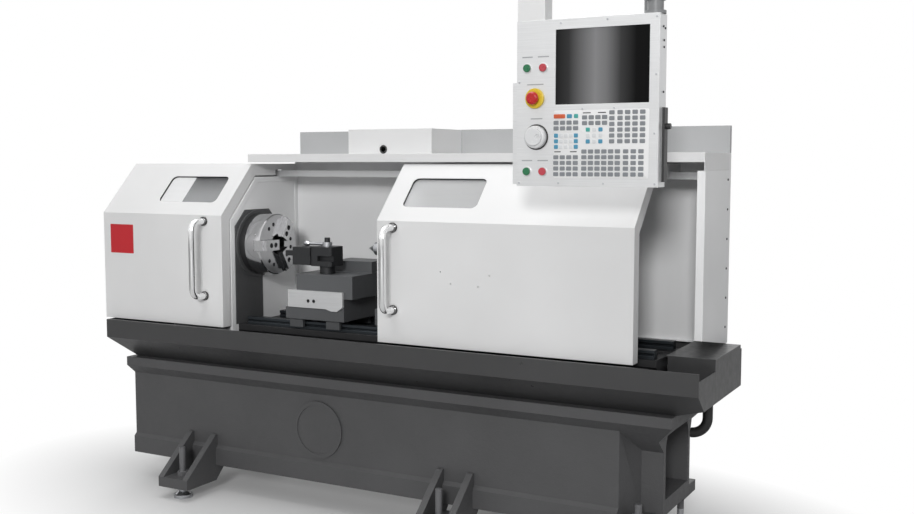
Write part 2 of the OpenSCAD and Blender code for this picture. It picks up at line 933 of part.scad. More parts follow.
module way_rails() {
  color("#a8b0b8") place() difference() {
    for (y = [way_y0, way_y1])
      along_x(way_x0, way_x1 - way_x0)
        polygon([[y - rail_w / 2, bed_top], [y - rail_w / 2, bed_top + rail_h * way_shares[0]],
          [y - rail_w / 2 + way_notch, bed_top + rail_h * way_shares[1]],
            [y - rail_w / 2, bed_top + rail_h * way_shares[2]],
          [y - rail_w / 2, way_top], [y + rail_w / 2, way_top],
            [y + rail_w / 2, bed_top + rail_h * way_shares[2]],
          [y + rail_w / 2 - way_notch, bed_top + rail_h * way_shares[1]],
            [y + rail_w / 2, bed_top + rail_h * way_shares[0]],
          [y + rail_w / 2, bed_top]]);
  }
}

module z_screw() {
  color("silver") place() {
    rod_x(way_x0 + gap, screw_y, screw_z, bed_x1 - block_l - way_x0 - 2 * gap, ball_r);
    rod_x(way_x0 - block_l, screw_y, screw_z, zmotor_x0 + coupling_l - over - way_x0 + block_l - gap,
      journal_r);
    rod_x(bed_x1 + over, screw_y, screw_z, zmotor_x0 - bed_x1 - 2 * over, coupling_r);
  }
}

// Headstock, spindle and drive

module head_profile(c) {
  polygon([[axis_y - head_half - c, bed_top], [axis_y - head_half - c, head_top - head_chamfer + c / 2],
    [axis_y - head_half + head_chamfer - c / 2, head_top + c],
      [axis_y + head_half - head_chamfer + c / 2, head_top + c],
    [axis_y + head_half + c, head_top - head_chamfer + c / 2], [axis_y + head_half + c, head_low - c],
    [axis_y + head_waist + c, head_low - c], [axis_y + head_waist + c, bed_top]]);
}

module headstock() {
  color("#3c3e40") place() difference() {
    union() {
      along_x(head_x0, head_x1 - head_x0) head_profile(0);
      rod_x(head_x1 - over, axis_y, axis_z, ring_l + over, ring_r);
    }
    rod_x(head_x0 - over, axis_y, axis_z, head_x1 - head_x0 + ring_l + 2 * over, bearing_r);
    rod_x(chuck_x0 - nose_l - over, axis_y, axis_z, nose_l + 2 * over, ring_in);
  }
}

module spindle_bearings() {
  color("#909498") place() difference() {
    for (x = [head_x0 + bearing_inset, chuck_x0 - nose_l - bearing_inset - bearing_l])
      rod_x(x, axis_y, axis_z, bearing_l, bearing_r - run);
    rod_x(head_x0, axis_y, axis_z, head_x1 - head_x0, spindle_r + run);
  }
}

module spindle() {
  color("silver") place() difference() {
    union() {
      rod_x(spindle_x0, axis_y, axis_z, chuck_x0 - spindle_x0, spindle_r);
      rod_x(chuck_x0 - nose_l, axis_y, axis_z, nose_l, nose_r);
    }
    rod_x(spindle_x0 - over, axis_y, axis_z, chuck_x0 - spindle_x0 + 2 * over, bore_r);
  }
}

module grooved_pulley(y, z, r) {
  rod_x(pulley_x0, y, z, pulley_l, r);
  for (x = [pulley_x0, pulley_x0 + pulley_l - belt_in + gap])
    rod_x(x, y, z, belt_in - gap, r + pulley_rim);
}

module spindle_pulley() {
  color("#707478") place() difference() {
    grooved_pulley(axis_y, axis_z, pulley_r);
    rod_x(pulley_x0 - over, axis_y, axis_z, pulley_l + 2 * over, spindle_r + run);
  }
}

module motor_pulley() {
  color("#707478") place() {
    grooved_pulley(motor_y, motor_z, motor_pulley_r);
    rod_x(pulley_x0, motor_y, motor_z, motor_x0 + motor_shaft_l - pulley_x0 - over, motor_shaft_r);
  }
}

module belt_loop(c) {
  hull() {
    translate([axis_y, axis_z]) circle(pulley_r + c, $fn = 64);
    translate([motor_y, motor_z]) circle(motor_pulley_r + c, $fn = 64);
  }
}

module drive_belt() {
  color("#1a1a1a") place() along_x(pulley_x0 + belt_in + gap,
    pulley_l - 2 * belt_in - 2 * gap) difference() {
    belt_loop(belt_t);
    belt_loop(gap);
  }
}

module spindle_motor() {
  color("#2a2c2e") place() difference() {
    union() {
      rod_x(motor_x0, motor_y, motor_z, motor_l, motor_r);
      block([motor_x0, motor_foot_y0, base_top + pan_t],
        [motor_x0 + motor_flange, motor_y + motor_r, motor_z]);
      block([motor_x0, motor_foot_y0, base_top + pan_t],
        [motor_x0 + motor_l, motor_y + motor_r, base_top + pan_t + motor_flange]);
    }
    rod_x(motor_x0 - over, motor_y, motor_z, motor_shaft_l + over, motor_shaft_r + gap);
    for (k = [0:fin_n - 1])
      rotate_about_motor(k * 180 / fin_n) block([motor_x0 + 2 * motor_flange, motor_r - fin_d, -fin_w / 2],
        [motor_x0 + motor_l + over, motor_r + over, fin_w / 2]);
  }
}

module rotate_about_motor(a) { translate([0, motor_y, motor_z]) rotate([a, 0, 0]) children(); }

// Jaw directions about the spindle axis, from +Y towards +Z
module at_jaw(a) { translate([0, axis_y, axis_z]) rotate([a, 0, 0]) children(); }

module chuck_body() {
  color("silver") place() difference() {
    union() {
      rod_x(chuck_x0, axis_y, axis_z, chuck_l - chuck_bevel, chuck_r);
      translate([chuck_x1 - chuck_bevel, axis_y, axis_z]) rotate([0, 90, 0])
        cylinder(h = chuck_bevel, r1 = chuck_r, r2 = chuck_r - chuck_bevel);
      at_jaw(360 * nipple_turn_share) rod_y(chuck_x1 - chuck_l / 4, 0, 0, chuck_r + nipple_r, nipple_r);
    }
    rod_x(chuck_x0 - over, axis_y, axis_z, chuck_l + 2 * over, chuck_bore);
    for (s = jaw_turn_shares) at_jaw(360 * s)
      block([chuck_x1 - jaw_slot, 0, -jaw_w / 2 - gap], [chuck_x1 + over, chuck_r + over, jaw_w / 2 + gap]);
    for (k = [0:2], s = [-1, 1]) at_jaw(360 * (k / 3 + s * face_hole_turn_share))
      rod_x(chuck_x1 - face_hole_d, face_hole_at, 0, face_hole_d + over, face_hole_r);
  }
}

module chuck_jaw(a) {
  color("#c8ccd0") place() at_jaw(a) difference() {
    union() {
      block([chuck_x1 - jaw_slot + gap, jaw_in, -jaw_w / 2], [chuck_x1 + jaw_low, jaw_out, jaw_w / 2]);
      block([chuck_x1, jaw_in, -jaw_w / 2], [chuck_x1 + jaw_rise, jaw_in + jaw_step, jaw_w / 2]);
    }
    for (r = [jaw_hole_1, jaw_hole_2]) {
      rod_x(chuck_x1 - jaw_slot, r, 0, jaw_slot + jaw_rise + over, jaw_hole_r);
      rod_x(chuck_x1 + jaw_rise - jaw_head_h, r, 0, jaw_head_h + over, jaw_head_r);
    }
  }
}

module jaw_1() { chuck_jaw(360 * jaw_turn_shares[0]); }
module jaw_2() { chuck_jaw(360 * jaw_turn_shares[1]); }
module jaw_3() { chuck_jaw(360 * jaw_turn_shares[2]); }

// Covers

function cover_line(i, z) = [[door_y + i, z], [door_y + i, hood_b(i)], [hood_c(i), door_top - i],
  [back_y - i + cover_in, door_top - i], [back_y - i + cover_in, z]];

module cover_end(x, t) {
  along_x(x, t) {
    polygon(cover_line(cover_in, cover_z0));
    translate([cover_leg_y, base_top + pan_t]) square([back_y - cover_leg_y, cover_z0]);
  }
}

module headstock_cover() {
  color("#d4d6d8") place() difference() {
    union() {
      difference() {
        along_x(cover_x0, bulk_x1 - cover_x0) polygon(cover_line(cover_in, cover_z0));
        along_x(cover_x0 - over, bulk_x1 - cover_x0 + 2 * over) polygon(cover_line(cover_in + sheet,
          cover_z0 - over));
      }
      cover_end(cover_x0, sheet);
      cover_end(bulk_x1 - sheet, sheet);
      difference() {
        along_x(bulk_x1 - sheet, 2 * sheet) polygon(cover_line(cover_in, cover_z0));
        along_x(bulk_x1 - 2 * sheet, 4 * sheet) polygon(cover_line(cover_in + border_w, cover_z0 - over));
      }
    }
    along_x(bulk_x1 - 2 * sheet, 4 * sheet) head_profile(gap);
    block([cover_x0 - over, bed_y0 - gap, cover_z0 - over], [bulk_x1 + 2 * sheet, bed_y0 + bed_w + gap,
      bed_top + gap]);
    rod_x(cover_x0 - over, axis_y, axis_z, sheet + 2 * over, bar_hole_r);
  }
}

module back_panel() {
  color("#d0d2d4") place() {
    block([bulk_x1, back_y, back_z0], [side_x1, back_y + sheet, roof_top]);
    block([roof_x0, back_y, cover_top], [bulk_x1 + sheet, back_y + sheet, roof_top]);
    block([cab_x0, back_y, roof_top], [side_x1, back_y + sheet, cab_top]);
    block([side_x1 - sheet, back_y + sheet, back_z0], [side_x1, back_y + sheet + back_flange, cab_top]);
    block([bulk_x1 + sheet, back_y - back_foot, back_z0 - sheet],
      [pan_l - end_l - gap, back_y + sheet, back_z0]);
  }
}

module side_panel() {
  color("#d8dadc") place() {
    along_x(side_x1 - sheet, sheet)
      polygon([[side_y0, side_z0], [back_y, end_top], [back_y, side_top], [side_y0, side_top]]);
    block([side_x1 - side_lip, side_y0, side_z0], [side_x1, side_y0 + sheet, side_top]);
  }
}

module roof_panel() {
  color("#dcdee0") place() {
    block([roof_x0, roof_y0, roof_top - sheet], [side_x1, back_y, roof_top]);
    block([roof_x0, roof_y0, roof_z0], [side_x1, roof_y0 + sheet, roof_top]);
    block([roof_x0, roof_y0, roof_z0], [roof_x0 + sheet, back_y, roof_top]);
    block([side_x1 - sheet, roof_y0, side_top], [side_x1, back_y, roof_top]);
  }
}

module door_rail() {
  color("#9a9ea2") place() {
    block([cover_x0, rail_y - slide_w / 2, cover_top], [slide_x1, rail_y + slide_w / 2, slide_top]);
    for (s = arm_shares) translate([bulk_x1 + s * (slide_x1 - bulk_x1), 0, 0])
      block([0, rail_y, cover_top], [arm_w, back_y, cover_top + arm_t]);
  }
}

module hood_door(x0, w, wx) {
  difference() {
    union() {
      along_x(x0, w) hood_band(0, sheet);
      along_x(x0, sheet) hood_band(0, fold);
      along_x(x0 + w - sheet, sheet) hood_band(0, fold);
      block([x0, door_y, door_z0], [x0 + w, door_y + hem, door_z0 + sheet]);
    }
    on_slope(wx) translate([0, 0, -fold]) linear_extrude(fold + over) rounded(win_w, win_h, win_r);
    block([x0 - over, rail_y - slide_w / 2 - shoe_lip - over, door_top - fold - over],
      [x0 + w + over, rail_y + slide_w / 2 + shoe_lip + over, slide_top + over]);
  }
}

module window_pane(x) {
  w = win_w + 2 * pane_lap;
  h = win_h + 2 * pane_lap;
  on_slope(x) translate([-pane_lap, -pane_lap, -sheet - pane_seat - pane_t]) difference() {
    linear_extrude(pane_seat + pane_t) rounded(w, h, win_r);
    translate([pane_lap - pane_seat_in, pane_lap - pane_seat_in, pane_t]) linear_extrude(pane_seat + over)
      rounded(win_w + 2 * pane_seat_in, win_h + 2 * pane_seat_in, win_r);
  }
}

module bar_handle(x) {
  y = door_y - handle_out;
  for (z = [handle_z0, handle_z1]) {
    rod_y(x, y + handle_bend, z, handle_out - handle_bend, handle_r);
    rod_y(x, door_y - handle_ring_h, z, handle_ring_h, handle_ring_r);
  }
  rod_z(x, y, handle_z0 + handle_bend, handle_z1 - handle_z0 - 2 * handle_bend, handle_r);
  translate([x, y + handle_bend, handle_z1 - handle_bend]) rotate([90, 0, 90]) rotate([0, 0, 90])
    rotate_extrude(angle = 90) translate([handle_bend, 0]) circle(handle_r);
  translate([x, y + handle_bend, handle_z0 + handle_bend]) rotate([90, 0, 90]) rotate([0, 0, 180])
    rotate_extrude(angle = 90) translate([handle_bend, 0]) circle(handle_r);
}

module glide_shoe(x) {
  w = slide_w / 2;
  along_x(x, shoe_l)
    polygon([[rail_y - w - shoe_lip, slide_top - shoe_drop], [rail_y - w - shoe_lip, door_top - sheet],
      [rail_y + w + shoe_lip, door_top - sheet], [rail_y + w + shoe_lip, slide_top - shoe_drop],
      [rail_y + w + gap, slide_top - shoe_drop], [rail_y + w + gap, slide_top + gap],
      [rail_y - w - gap, slide_top + gap], [rail_y - w - gap, slide_top - shoe_drop]]);
}

module left_door() { color("#e8eaec") place() hood_door(left_x0, left_w, left_win_x); }
module left_window() { color("#b8c4cc", 0.5) place() window_pane(left_win_x); }
module left_handle() { color("silver") place() bar_handle(handle_left_x); }
module left_glides() { color("#202020") place() for (x = left_shoe_xs) glide_shoe(left_x0 + x); }
module right_door() {
  color("#e8eaec") place() difference() {
    hood_door(right_x0, right_w, right_win_x);
    for (k = [0:3]) rod_y(right_x0 + bolt_xs[k], door_y - over, door_z0 + bolt_zs[k], sheet + 2 * over,
      bolt_r);
  }
}
module right_window() { color("#b8c4cc", 0.5) place() window_pane(right_win_x); }
module right_handle() { color("silver") place() bar_handle(handle_right_x); }
module right_glides() { color("#202020") place() for (x = right_shoe_xs) glide_shoe(right_x0 + x); }

// Carriage

module truck(x, y) {
  block([x, y - truck_w / 2, truck_z0], [x + truck_l, y + truck_w / 2, saddle_z0]);
}

module tail_profile(c) {
  x = saddle_x0 + saddle_l / 2 + tail_cut;
  polygon([[x - tail_w / 2 + tail_cut - c, upper_z1 - over], [x - tail_w / 2 - c, upper_z1 + tail_h + c],
    [x + tail_w / 2 + c, upper_z1 + tail_h + c], [x + tail_w / 2 - tail_cut + c, upper_z1 - over]]);
}

module saddle() {
  x1 = saddle_x0 + saddle_l;
  color("#5c6064") place() difference() {
    union() {
      block([saddle_x0, saddle_y0, saddle_z0], [x1, saddle_y1, saddle_z0 + saddle_h]);
      block([upper_x0, saddle_y0, saddle_z0], [upper_x0 + upper_l, saddle_y1, upper_z1]);
      along_y(saddle_y0, saddle_y1 - saddle_y0) tail_profile(0);
      for (x = [saddle_x0 + truck_in, x1 - truck_in - truck_l], y = [way_y0, way_y1]) truck(x, y);
      block([saddle_x0 + saddle_l / 2 - nut_l / 2, screw_y - nut_w / 2, screw_z - nut_w / 2],
        [saddle_x0 + saddle_l / 2 + nut_l / 2, screw_y + nut_w / 2, saddle_z0 + over]);
    }
    for (y = [way_y0, way_y1])
      block([saddle_x0 - over, y - rail_w / 2 - gap, bed_top],
        [x1 + over, y + rail_w / 2 + gap, way_top + gap]);
    rod_x(saddle_x0, screw_y, screw_z, saddle_l, ball_r + gap);
  }
}

module way_wiper() {
  color("#c0c4c8") place() difference() {
    along_y(saddle_y0 - wiper_t, wiper_t)
      polygon([[wiper_x0, wiper_z0], [wiper_x0, wiper_z0 + wiper_h],
        [wiper_x0 + wiper_l, wiper_z0 + wiper_h],
        [wiper_x0 + wiper_l, wiper_z0 + wiper_step], [wiper_x0 + wiper_l - wiper_notch,
          wiper_z0 - wiper_tab],
        [wiper_x0 + wiper_l - 2 * wiper_notch, wiper_z0 - wiper_tab],
        [wiper_x0 + wiper_l - 3 * wiper_notch, wiper_z0]]);
    for (h = wiper_holes)
      rod_y(wiper_x0 + h, saddle_y0 - wiper_t - over, wiper_z0 + wiper_hole_up, wiper_hole_d + over,
        wiper_hole_r);
  }
}

module cross_slide() {
  color("#54585c") place() difference() {
    union() {
      block([cross_x0, cross_y0, upper_z1 + gap], [cross_x0 + cross_l, cross_y1, cross_z1]);
      block([xcover_x0, xcover_y0, cross_z1 - over], [xcover_x1, cross_y1, cross_z1 + xcover_h]);
    }
    along_y(cross_y0 - over, cross_y1 - cross_y0 + 2 * over) tail_profile(gap);
  }
}

module tool_post() {
  cx = tpost_x0 + tpost_s / 2;
  cy = tpost_y0 + tpost_s / 2;
  color("#8a8e92") place() {
    rod_z(cx, cy, cross_z1, post_base_h, post_base_r);
    difference() {
      translate([tpost_x0, tpost_y0, tpost_z0]) linear_extrude(tpost_z1 - tpost_z0)
        polygon([[0, 0], [tpost_s - tpost_bevel, 0], [tpost_s, tpost_bevel],
          [tpost_s, tpost_s - tpost_bevel],
          [tpost_s - tpost_bevel, tpost_s], [0, tpost_s]]);
      block([tpost_x0 + tpost_s / 3, tpost_y0 - over, tpost_z0 + tool_s],
        [tpost_x0 + tpost_s + over, tpost_y0 + tool_s, tpost_z0 + 2 * tool_s]);
    }
    rod_z(cx, cy, tpost_z1 - over, stud_h + over, stud_r);
  }
}

module tool_holder() {
  color("#74787c") place() {
    difference() {
      block([holder_x0, holder_y0, holder_z0], [tpost_x0, holder_y0 + holder_d, holder_z1]);
      block([holder_x0 - over, holder_y0 - over, tool_z - tool_s],
        [tpost_x0 + over, holder_y0 + tool_s, tool_z]);
      for (k = [0:setscrew_n - 1])
        rod_z(holder_x0 + (tpost_x0 - holder_x0) * (k + 0.5) / setscrew_n, holder_y0 + tool_s / 2, tool_z,
          holder_z1, setscrew_r);
    }
    block([holder_x0 - tool_out, holder_y0, tool_z - tool_s],
      [tpost_x0 - over, holder_y0 + tool_s, tool_z]);
    translate([holder_x0 - tool_out, holder_y0, tool_z - tool_s]) linear_extrude(tool_s)
      polygon([[0, 0], [0, tool_s], [tool_s / 2, tool_s + insert_out], [tool_s, tool_s], [tool_s, 0]]);
  }
}

module cone_x(x, y, z, l, r1, r2) { translate([x, y, z]) rotate([0, 90, 0]) cylinder(h = l, r1 = r1,
  r2 = r2); }
module cone_y(x, y, z, l, r1, r2) { translate([x, y, z]) rotate([-90, 0, 0]) cylinder(h = l, r1 = r1,
  r2 = r2); }

module turned_knob(x, y, z, l, r) {
  end_r = r * knob_end_share;
  cone_x(x, y, z, l / 3, end_r, r);
  rod_x(x + l / 3, y, z, l / 3, r);
  cone_x(x + 2 * l / 3, y, z, l / 3, r, end_r);
}

module clamp_lever() {
  cx = tpost_x0 + tpost_s / 2;
  cy = tpost_y0 + tpost_s / 2;
  z = tpost_z1 + gap;
  color("#9a9ea2") place() difference() {
    union() {
      rod_z(cx, cy, z, lever_h, lever_r);
      rod_x(cx - lever_l, cy, z + lever_h / 2, lever_l, lever_bar_r);
      turned_knob(cx - lever_l - lever_knob_l / 2, cy, z + lever_h / 2, lever_knob_l, lever_knob_r);
    }
    rod_z(cx, cy, z - over, lever_h + 2 * over, stud_r + run);
  }
}

// Tailstock

module tailstock_body() {
  x1 = ts_x0 + ts_l;
  z1 = saddle_z0 + ts_base_h;
  color("#54585c") place() difference() {
    union() {
      block([ts_x0, saddle_y0, saddle_z0], [x1, saddle_y1 - over, z1]);
      for (x = [ts_x0 + truck_in, x1 - truck_in - truck_l], y = [way_y0, way_y1]) truck(x, y);
      block([ts_x0 + ts_l / 2 - ts_col_l / 2, axis_y - ts_col_w / 2, z1 - over],
        [ts_x0 + ts_l / 2 + ts_col_l / 2, axis_y + ts_col_w / 2, axis_z]);
      rod_x(ts_barrel_x0, axis_y, axis_z, ts_barrel_l, ts_barrel_r);
    }
    for (y = [way_y0, way_y1])
      block([ts_x0 - over, y - rail_w / 2 - gap, bed_top], [x1 + over, y + rail_w / 2 + gap,
        way_top + gap]);
    rod_x(ts_barrel_x0 - over, axis_y, axis_z, ts_barrel_l + 2 * over, quill_r + run);
  }
}

module quill() {
  color("silver") place() difference() {
    rod_x(quill_x0, axis_y, axis_z, quill_l, quill_r);
    rod_x(quill_x0 - over, axis_y, axis_z, shank_l + 2 * over, shank_r + run);
    rod_x(quill_x0 + quill_l - quill_hole, axis_y, axis_z, quill_hole + over, nut_screw_r + gap);
  }
}

module live_centre() {
  cone_l = centre_cone_r / tan(360 * centre_turn_share);
  color("silver") place() {
    translate([tip_x, axis_y, axis_z]) rotate([0, 90, 0]) cylinder(h = cone_l, r1 = 0, r2 = centre_cone_r);
    rod_x(tip_x + cone_l, axis_y, axis_z, quill_x0 - gap - tip_x - cone_l, centre_r);
    rod_x(quill_x0 - over, axis_y, axis_z, shank_l, shank_r);
  }
}

module handwheel() {
  color("#303234") place() {
    difference() {
      rod_x(wheel_x0, axis_y, axis_z, wheel_t, wheel_r);
      rod_x(wheel_x0 - over, axis_y, axis_z, wheel_dish + over, wheel_r - wheel_rim);
      rod_x(wheel_x0 + wheel_t - wheel_dish, axis_y, axis_z, wheel_t, wheel_r - wheel_rim);
      for (k = [0:wheel_hole_n - 1]) translate([0, axis_y,
        axis_z]) rotate([360 * (k + 0.5) / wheel_hole_n, 0, 0])
        rod_x(wheel_x0 - over, 0, wheel_hole_at, wheel_t + 2 * over, wheel_hole_r);
    }
    rod_x(ts_barrel_x0 + ts_barrel_l + gap, axis_y, axis_z, wheel_x0 + wheel_t - ts_barrel_x0 - ts_barrel_l,
      wheel_hub_r);
    rod_x(ts_barrel_x0 + ts_barrel_l - nut_screw_in, axis_y, axis_z, nut_screw_l, nut_screw_r);
    rod_x(wheel_x0 + wheel_t / 2, axis_y, axis_z + wheel_r - wheel_rim / 2, wheel_knob_l, wheel_knob_r / 2);
    turned_knob(wheel_x0 + wheel_t + over, axis_y, axis_z + wheel_r - wheel_rim / 2, wheel_knob_l,
      wheel_knob_r);
  }
}

// Control cabinet, junction box and boom

module control_cabinet() {
  dx1 = cab_door_x0 + cab_door_w;
  color("#cfd2d4") place() {
    difference() {
      block([cab_x0, cab_y0, cab_z0], [cab_x1, cab_y1, cab_top]);
      block([cab_x0 + cab_t, cab_y0 + cab_t, cab_z0 + cab_t],
        [cab_x1 - cab_t, cab_y1 - cab_t, cab_top - cab_t]);
      block([cab_door_x0 + cab_lip, cab_y1 - cab_t - over, cab_door_z0 + cab_lip],
        [dx1 - cab_lip, cab_y1 + over, cab_door_z0 + cab_door_h - cab_lip]);
    }
    for (x = leg_xs)
      block([cab_x0 + x, rim_y1, rim_z0], [cab_x0 + x + leg_w, rim_y1 + leg_d, cab_z0]);
    for (u = hinge_ups) {
      z = cab_door_z0 + u;
      rod_z(dx1 + hinge_r, cab_y1 + hinge_r, z, hinge_l, hinge_r);
      rod_z(dx1 + hinge_r, cab_y1 + hinge_r, z, 2 * hinge_l, pin_r);
      block([dx1 + hinge_r, cab_y1, z], [dx1 + 3 * hinge_r, cab_y1 + hinge_r, z + hinge_l]);
    }
  }
}

module cabinet_door() {
  dx1 = cab_door_x0 + cab_door_w;
  y = cab_y1 + gap;
  color("#cfd2d4") place() difference() {
    union() {
      block([cab_door_x0, y, cab_door_z0], [dx1 - gap, y + cab_t, cab_door_z0 + cab_door_h]);
      for (u = hinge_ups) {
        z = cab_door_z0 + u;
        rod_z(dx1 + hinge_r, cab_y1 + hinge_r, z + hinge_l + gap, hinge_l, hinge_r);
        block([dx1 - 2 * hinge_r, y + hinge_r - cab_t, z + hinge_l + gap],
          [dx1 + hinge_r, y + hinge_r, z + 2 * hinge_l + gap]);
        block([dx1 - 2 * hinge_r, y, z + hinge_l + gap], [dx1 - hinge_r, y + hinge_r,
          z + 2 * hinge_l + gap]);
      }
      rod_y(cab_door_x0 + 2 * latch_r, y, cab_door_z0 + cab_door_h / 2, cab_t + latch_h, latch_r);
    }
    for (u = hinge_ups)
      rod_z(dx1 + hinge_r, cab_y1 + hinge_r, cab_door_z0 + u + hinge_l - over, hinge_l + 2 * over,
        pin_r + run);
  }
}

module drive_modules() {
  y = cab_y0 + plate_in;
  color("#b8bcc0") place() {
    block([cab_x0 + cab_t, y, cab_z0 + plate_in], [cab_x1 - cab_t, y + plate_t, cab_top - plate_in]);
    for (k = [0:module_n - 1])
      block([module_x0 + k * module_pitch, y + plate_t - over, module_z0],
        [module_x0 + k * module_pitch + module_w, y + plate_t + module_d, module_z0 + module_h]);
    block([module_x0, y + plate_t - over, trunk_z],
      [module_x0 + (module_n - 1) * module_pitch + module_w, y + plate_t + trunk_d, trunk_z + trunk_h]);
  }
}

module junction_box() {
  color("#c4c7ca") place() difference() {
    block([jbox_x0, jbox_y0, roof_top], [jbox_x0 + jbox_l, back_y, jbox_top]);
    block([jbox_x0 + sheet, jbox_y0 + sheet, roof_top + sheet],
      [jbox_x0 + jbox_l - sheet, back_y - sheet, jbox_top - sheet]);
    rod_y(jbox_x0 + grommet_at, jbox_y0 - over, roof_top + grommet_up, sheet + 2 * over, grommet_r);
  }
}

module boom_post() {
  color("#8c9094") place() {
    rod_z(post_x, post_y, cab_top, post_flange_t, post_flange);
    rod_z(post_x, post_y, cab_top, boom_z0 - gap - cab_top, post_r);
    rod_z(post_x, post_y, boom_z0 - over, boom_h + over - gap, boom_pin_r);
  }
}

module boom_arm() {
  dx = drop_x - post_x;
  dy = drop_y - post_y;
  near = (boom_pin_r + hub_r) / 2;
  far = (tube_r + hub_r) / 2;
  color("#8c9094") place() difference() {
    union() {
      rod_z(post_x, post_y, boom_z0, boom_h + cap_h, hub_r);
      rod_z(drop_x, drop_y, boom_z0, boom_h, hub_r);
      translate([post_x, post_y, boom_z0]) rotate([0, 0, atan2(dy, dx)])
        block([near, -boom_w / 2, 0], [sqrt(dx * dx + dy * dy) - far, boom_w / 2, boom_h]);
    }
    rod_z(post_x, post_y, boom_z0 - over, boom_h + over, boom_pin_r + run);
    rod_z(drop_x, drop_y, boom_z0 - over, boom_h + 2 * over, tube_r + run);
  }
}

// Pendant

module pendant_housing() {
  y1 = pend_y0 + pend_d;
  color("#c8cacc") place() {
    difference() {
      union() {
        block([pend_x0, pend_y0 + face_t, pend_z0], [pend_x1, y1, pend_top]);
        block([pend_x0 - side_box_w, pend_y0 + face_t + side_box_up, pend_z0 + side_box_up],
          [pend_x0 + over, pend_y0 + face_t + side_box_up + side_box_d,
            pend_z0 + side_box_up + side_box_h]);
        block([pend_x1 - over, y1 - strip_d - side_box_up, pend_z0 + strip_up],
          [pend_x1 + strip_w, y1 - side_box_up, pend_z0 + strip_up + strip_h]);
        rod_x(pend_x1, y1 - strip_d / 2 - side_box_up, pend_z0 + strip_up + strip_knob_up,
          strip_w + strip_knob_l, strip_knob_r);
      }
      block([pend_x0 + pend_wall, pend_y0, pend_z0 + pend_wall],
        [pend_x1 - pend_wall, y1 - pend_wall, pend_top - pend_wall]);
    }
    rod_z(drop_x, drop_y, pend_top - over, boom_z0 + boom_h + gap + over - pend_top, tube_r);
    rod_z(drop_x, drop_y, boom_z0 + boom_h + gap, cap_h, collar_r);
    rod_z(drop_x, drop_y, pend_top, collar_h / 2, collar_r);
    rod_z(drop_x, drop_y, pend_top + 2 * collar_h, collar_h, collar_r - over);
  }
}

module button_hole(x, z, r) { rod_y(x, pend_y0 - over, z, face_t + 2 * over, r); }

module pendant_plate() {
  color("#d4d6d8") place() difference() {
    union() {
      block([pend_x0, pend_y0, pend_z0], [pend_x1, pend_y0 + face_t, pend_top]);
      for (x = [btn_left_x, btn_right_x], z = [btn_top_z, btn_low_z])
        rod_y(x, pend_y0 - btn_bezel_h, z, btn_bezel_h + over, btn_bezel_r);
    }
    block([scr_x0, pend_y0 - over, scr_z0], [scr_x0 + scr_w, pend_y0 + face_t + over, scr_z0 + scr_h]);
    for (x = [btn_left_x, btn_right_x], z = [btn_top_z, btn_low_z])
      rod_y(x, pend_y0 - btn_bezel_h - over, z, btn_bezel_h + face_t + 2 * over, btn_r + gap);
    button_hole(stop_x, stop_z, stop_stem_r + gap);
    button_hole(jog_x, jog_z, stop_stem_r + gap);
  }
}

module screen() {
  color("#101820") place()
    block([scr_x0 - scr_t, pend_y0 + face_t, scr_z0 - scr_t],
      [scr_x0 + scr_w + scr_t, pend_y0 + face_t + scr_t, scr_z0 + scr_h + scr_t]);
}

module key_field() {
  color("#9aa0a4") place() {
    block([keys_x0, pend_y0 - keys_t, keys_z0], [keys_x0 + keys_w, pend_y0, keys_z0 + keys_h]);
    for (b = key_block_shares, i = [0:b[2] - 1], j = [0:b[3] - 1])
      translate([keys_x0 + b[0] * keys_w + b[4] * i * key_px - key_w / 2, pend_y0 - keys_t - key_rise,
        keys_z0 + b[1] * keys_h + j * key_pz - key_h / 2]) cube([key_w, key_rise + keys_t / 2, key_h]);
  }
}

module push_button(x, z) {
  rod_y(x, pend_y0 - btn_out, z, btn_out + face_t + travel + btn_seat, btn_r);
  rod_y(x, pend_y0 + face_t + travel, z, btn_seat, btn_bezel_r);
}

module power_on_button() { color("green") place() push_button(btn_left_x, btn_top_z); }
module power_off_button() { color("red") place() push_button(btn_right_x, btn_top_z); }
module cycle_start_button() { color("green") place() push_button(btn_left_x, btn_low_z); }
module feed_hold_button() { color("red") place() push_button(btn_right_x, btn_low_z); }

module estop_button() {
  color("red") place() {
    cone_y(stop_x, pend_y0 - stop_stem - stop_head, stop_z, stop_edge, stop_r - stop_edge, stop_r);
    rod_y(stop_x, pend_y0 - stop_stem - stop_head + stop_edge, stop_z, stop_head - 2 * stop_edge, stop_r);
    cone_y(stop_x, pend_y0 - stop_stem - stop_edge, stop_z, stop_edge, stop_r, stop_r - stop_edge);
    rod_y(stop_x, pend_y0 - stop_stem - over, stop_z, stop_stem + over + face_t + travel, stop_stem_r);
    rod_y(stop_x, pend_y0 + face_t + travel, stop_z, btn_seat, btn_bezel_r);
  }
}

module jog_wheel() {
  y = pend_y0 - gap;
  color("#c0c2c4") place() difference() {
    union() {
      rod_y(jog_x, y - jog_h + jog_edge, jog_z, jog_h - jog_edge, jog_r);
      cone_y(jog_x, y - jog_h, jog_z, jog_edge, jog_r - jog_edge, jog_r);
      rod_y(jog_x, y - jog_h - jog_top_h, jog_z, jog_top_h + over, jog_top_r);
      rod_y(jog_x, y - over, jog_z, over + gap + face_t + btn_seat, stop_stem_r);
    }
    rod_y(jog_x + jog_top_r / 2, y - jog_h - jog_top_h - over, jog_z, over + jog_top_h / 2, jog_dish_r);
  }
}

module accessory_box() {
  y = pend_y0 + face_t;
  color("#eceeee") place() difference() {
    block([pend_x0, y, pend_top], [pend_x0 + acc_w, y + acc_d, pend_top + acc_h]);
    block([pend_x0 + pend_wall, y + pend_wall, pend_top + pend_wall],
      [pend_x0 + acc_w - pend_wall, y + acc_d - pend_wall, pend_top + acc_h - pend_wall]);
  }
}

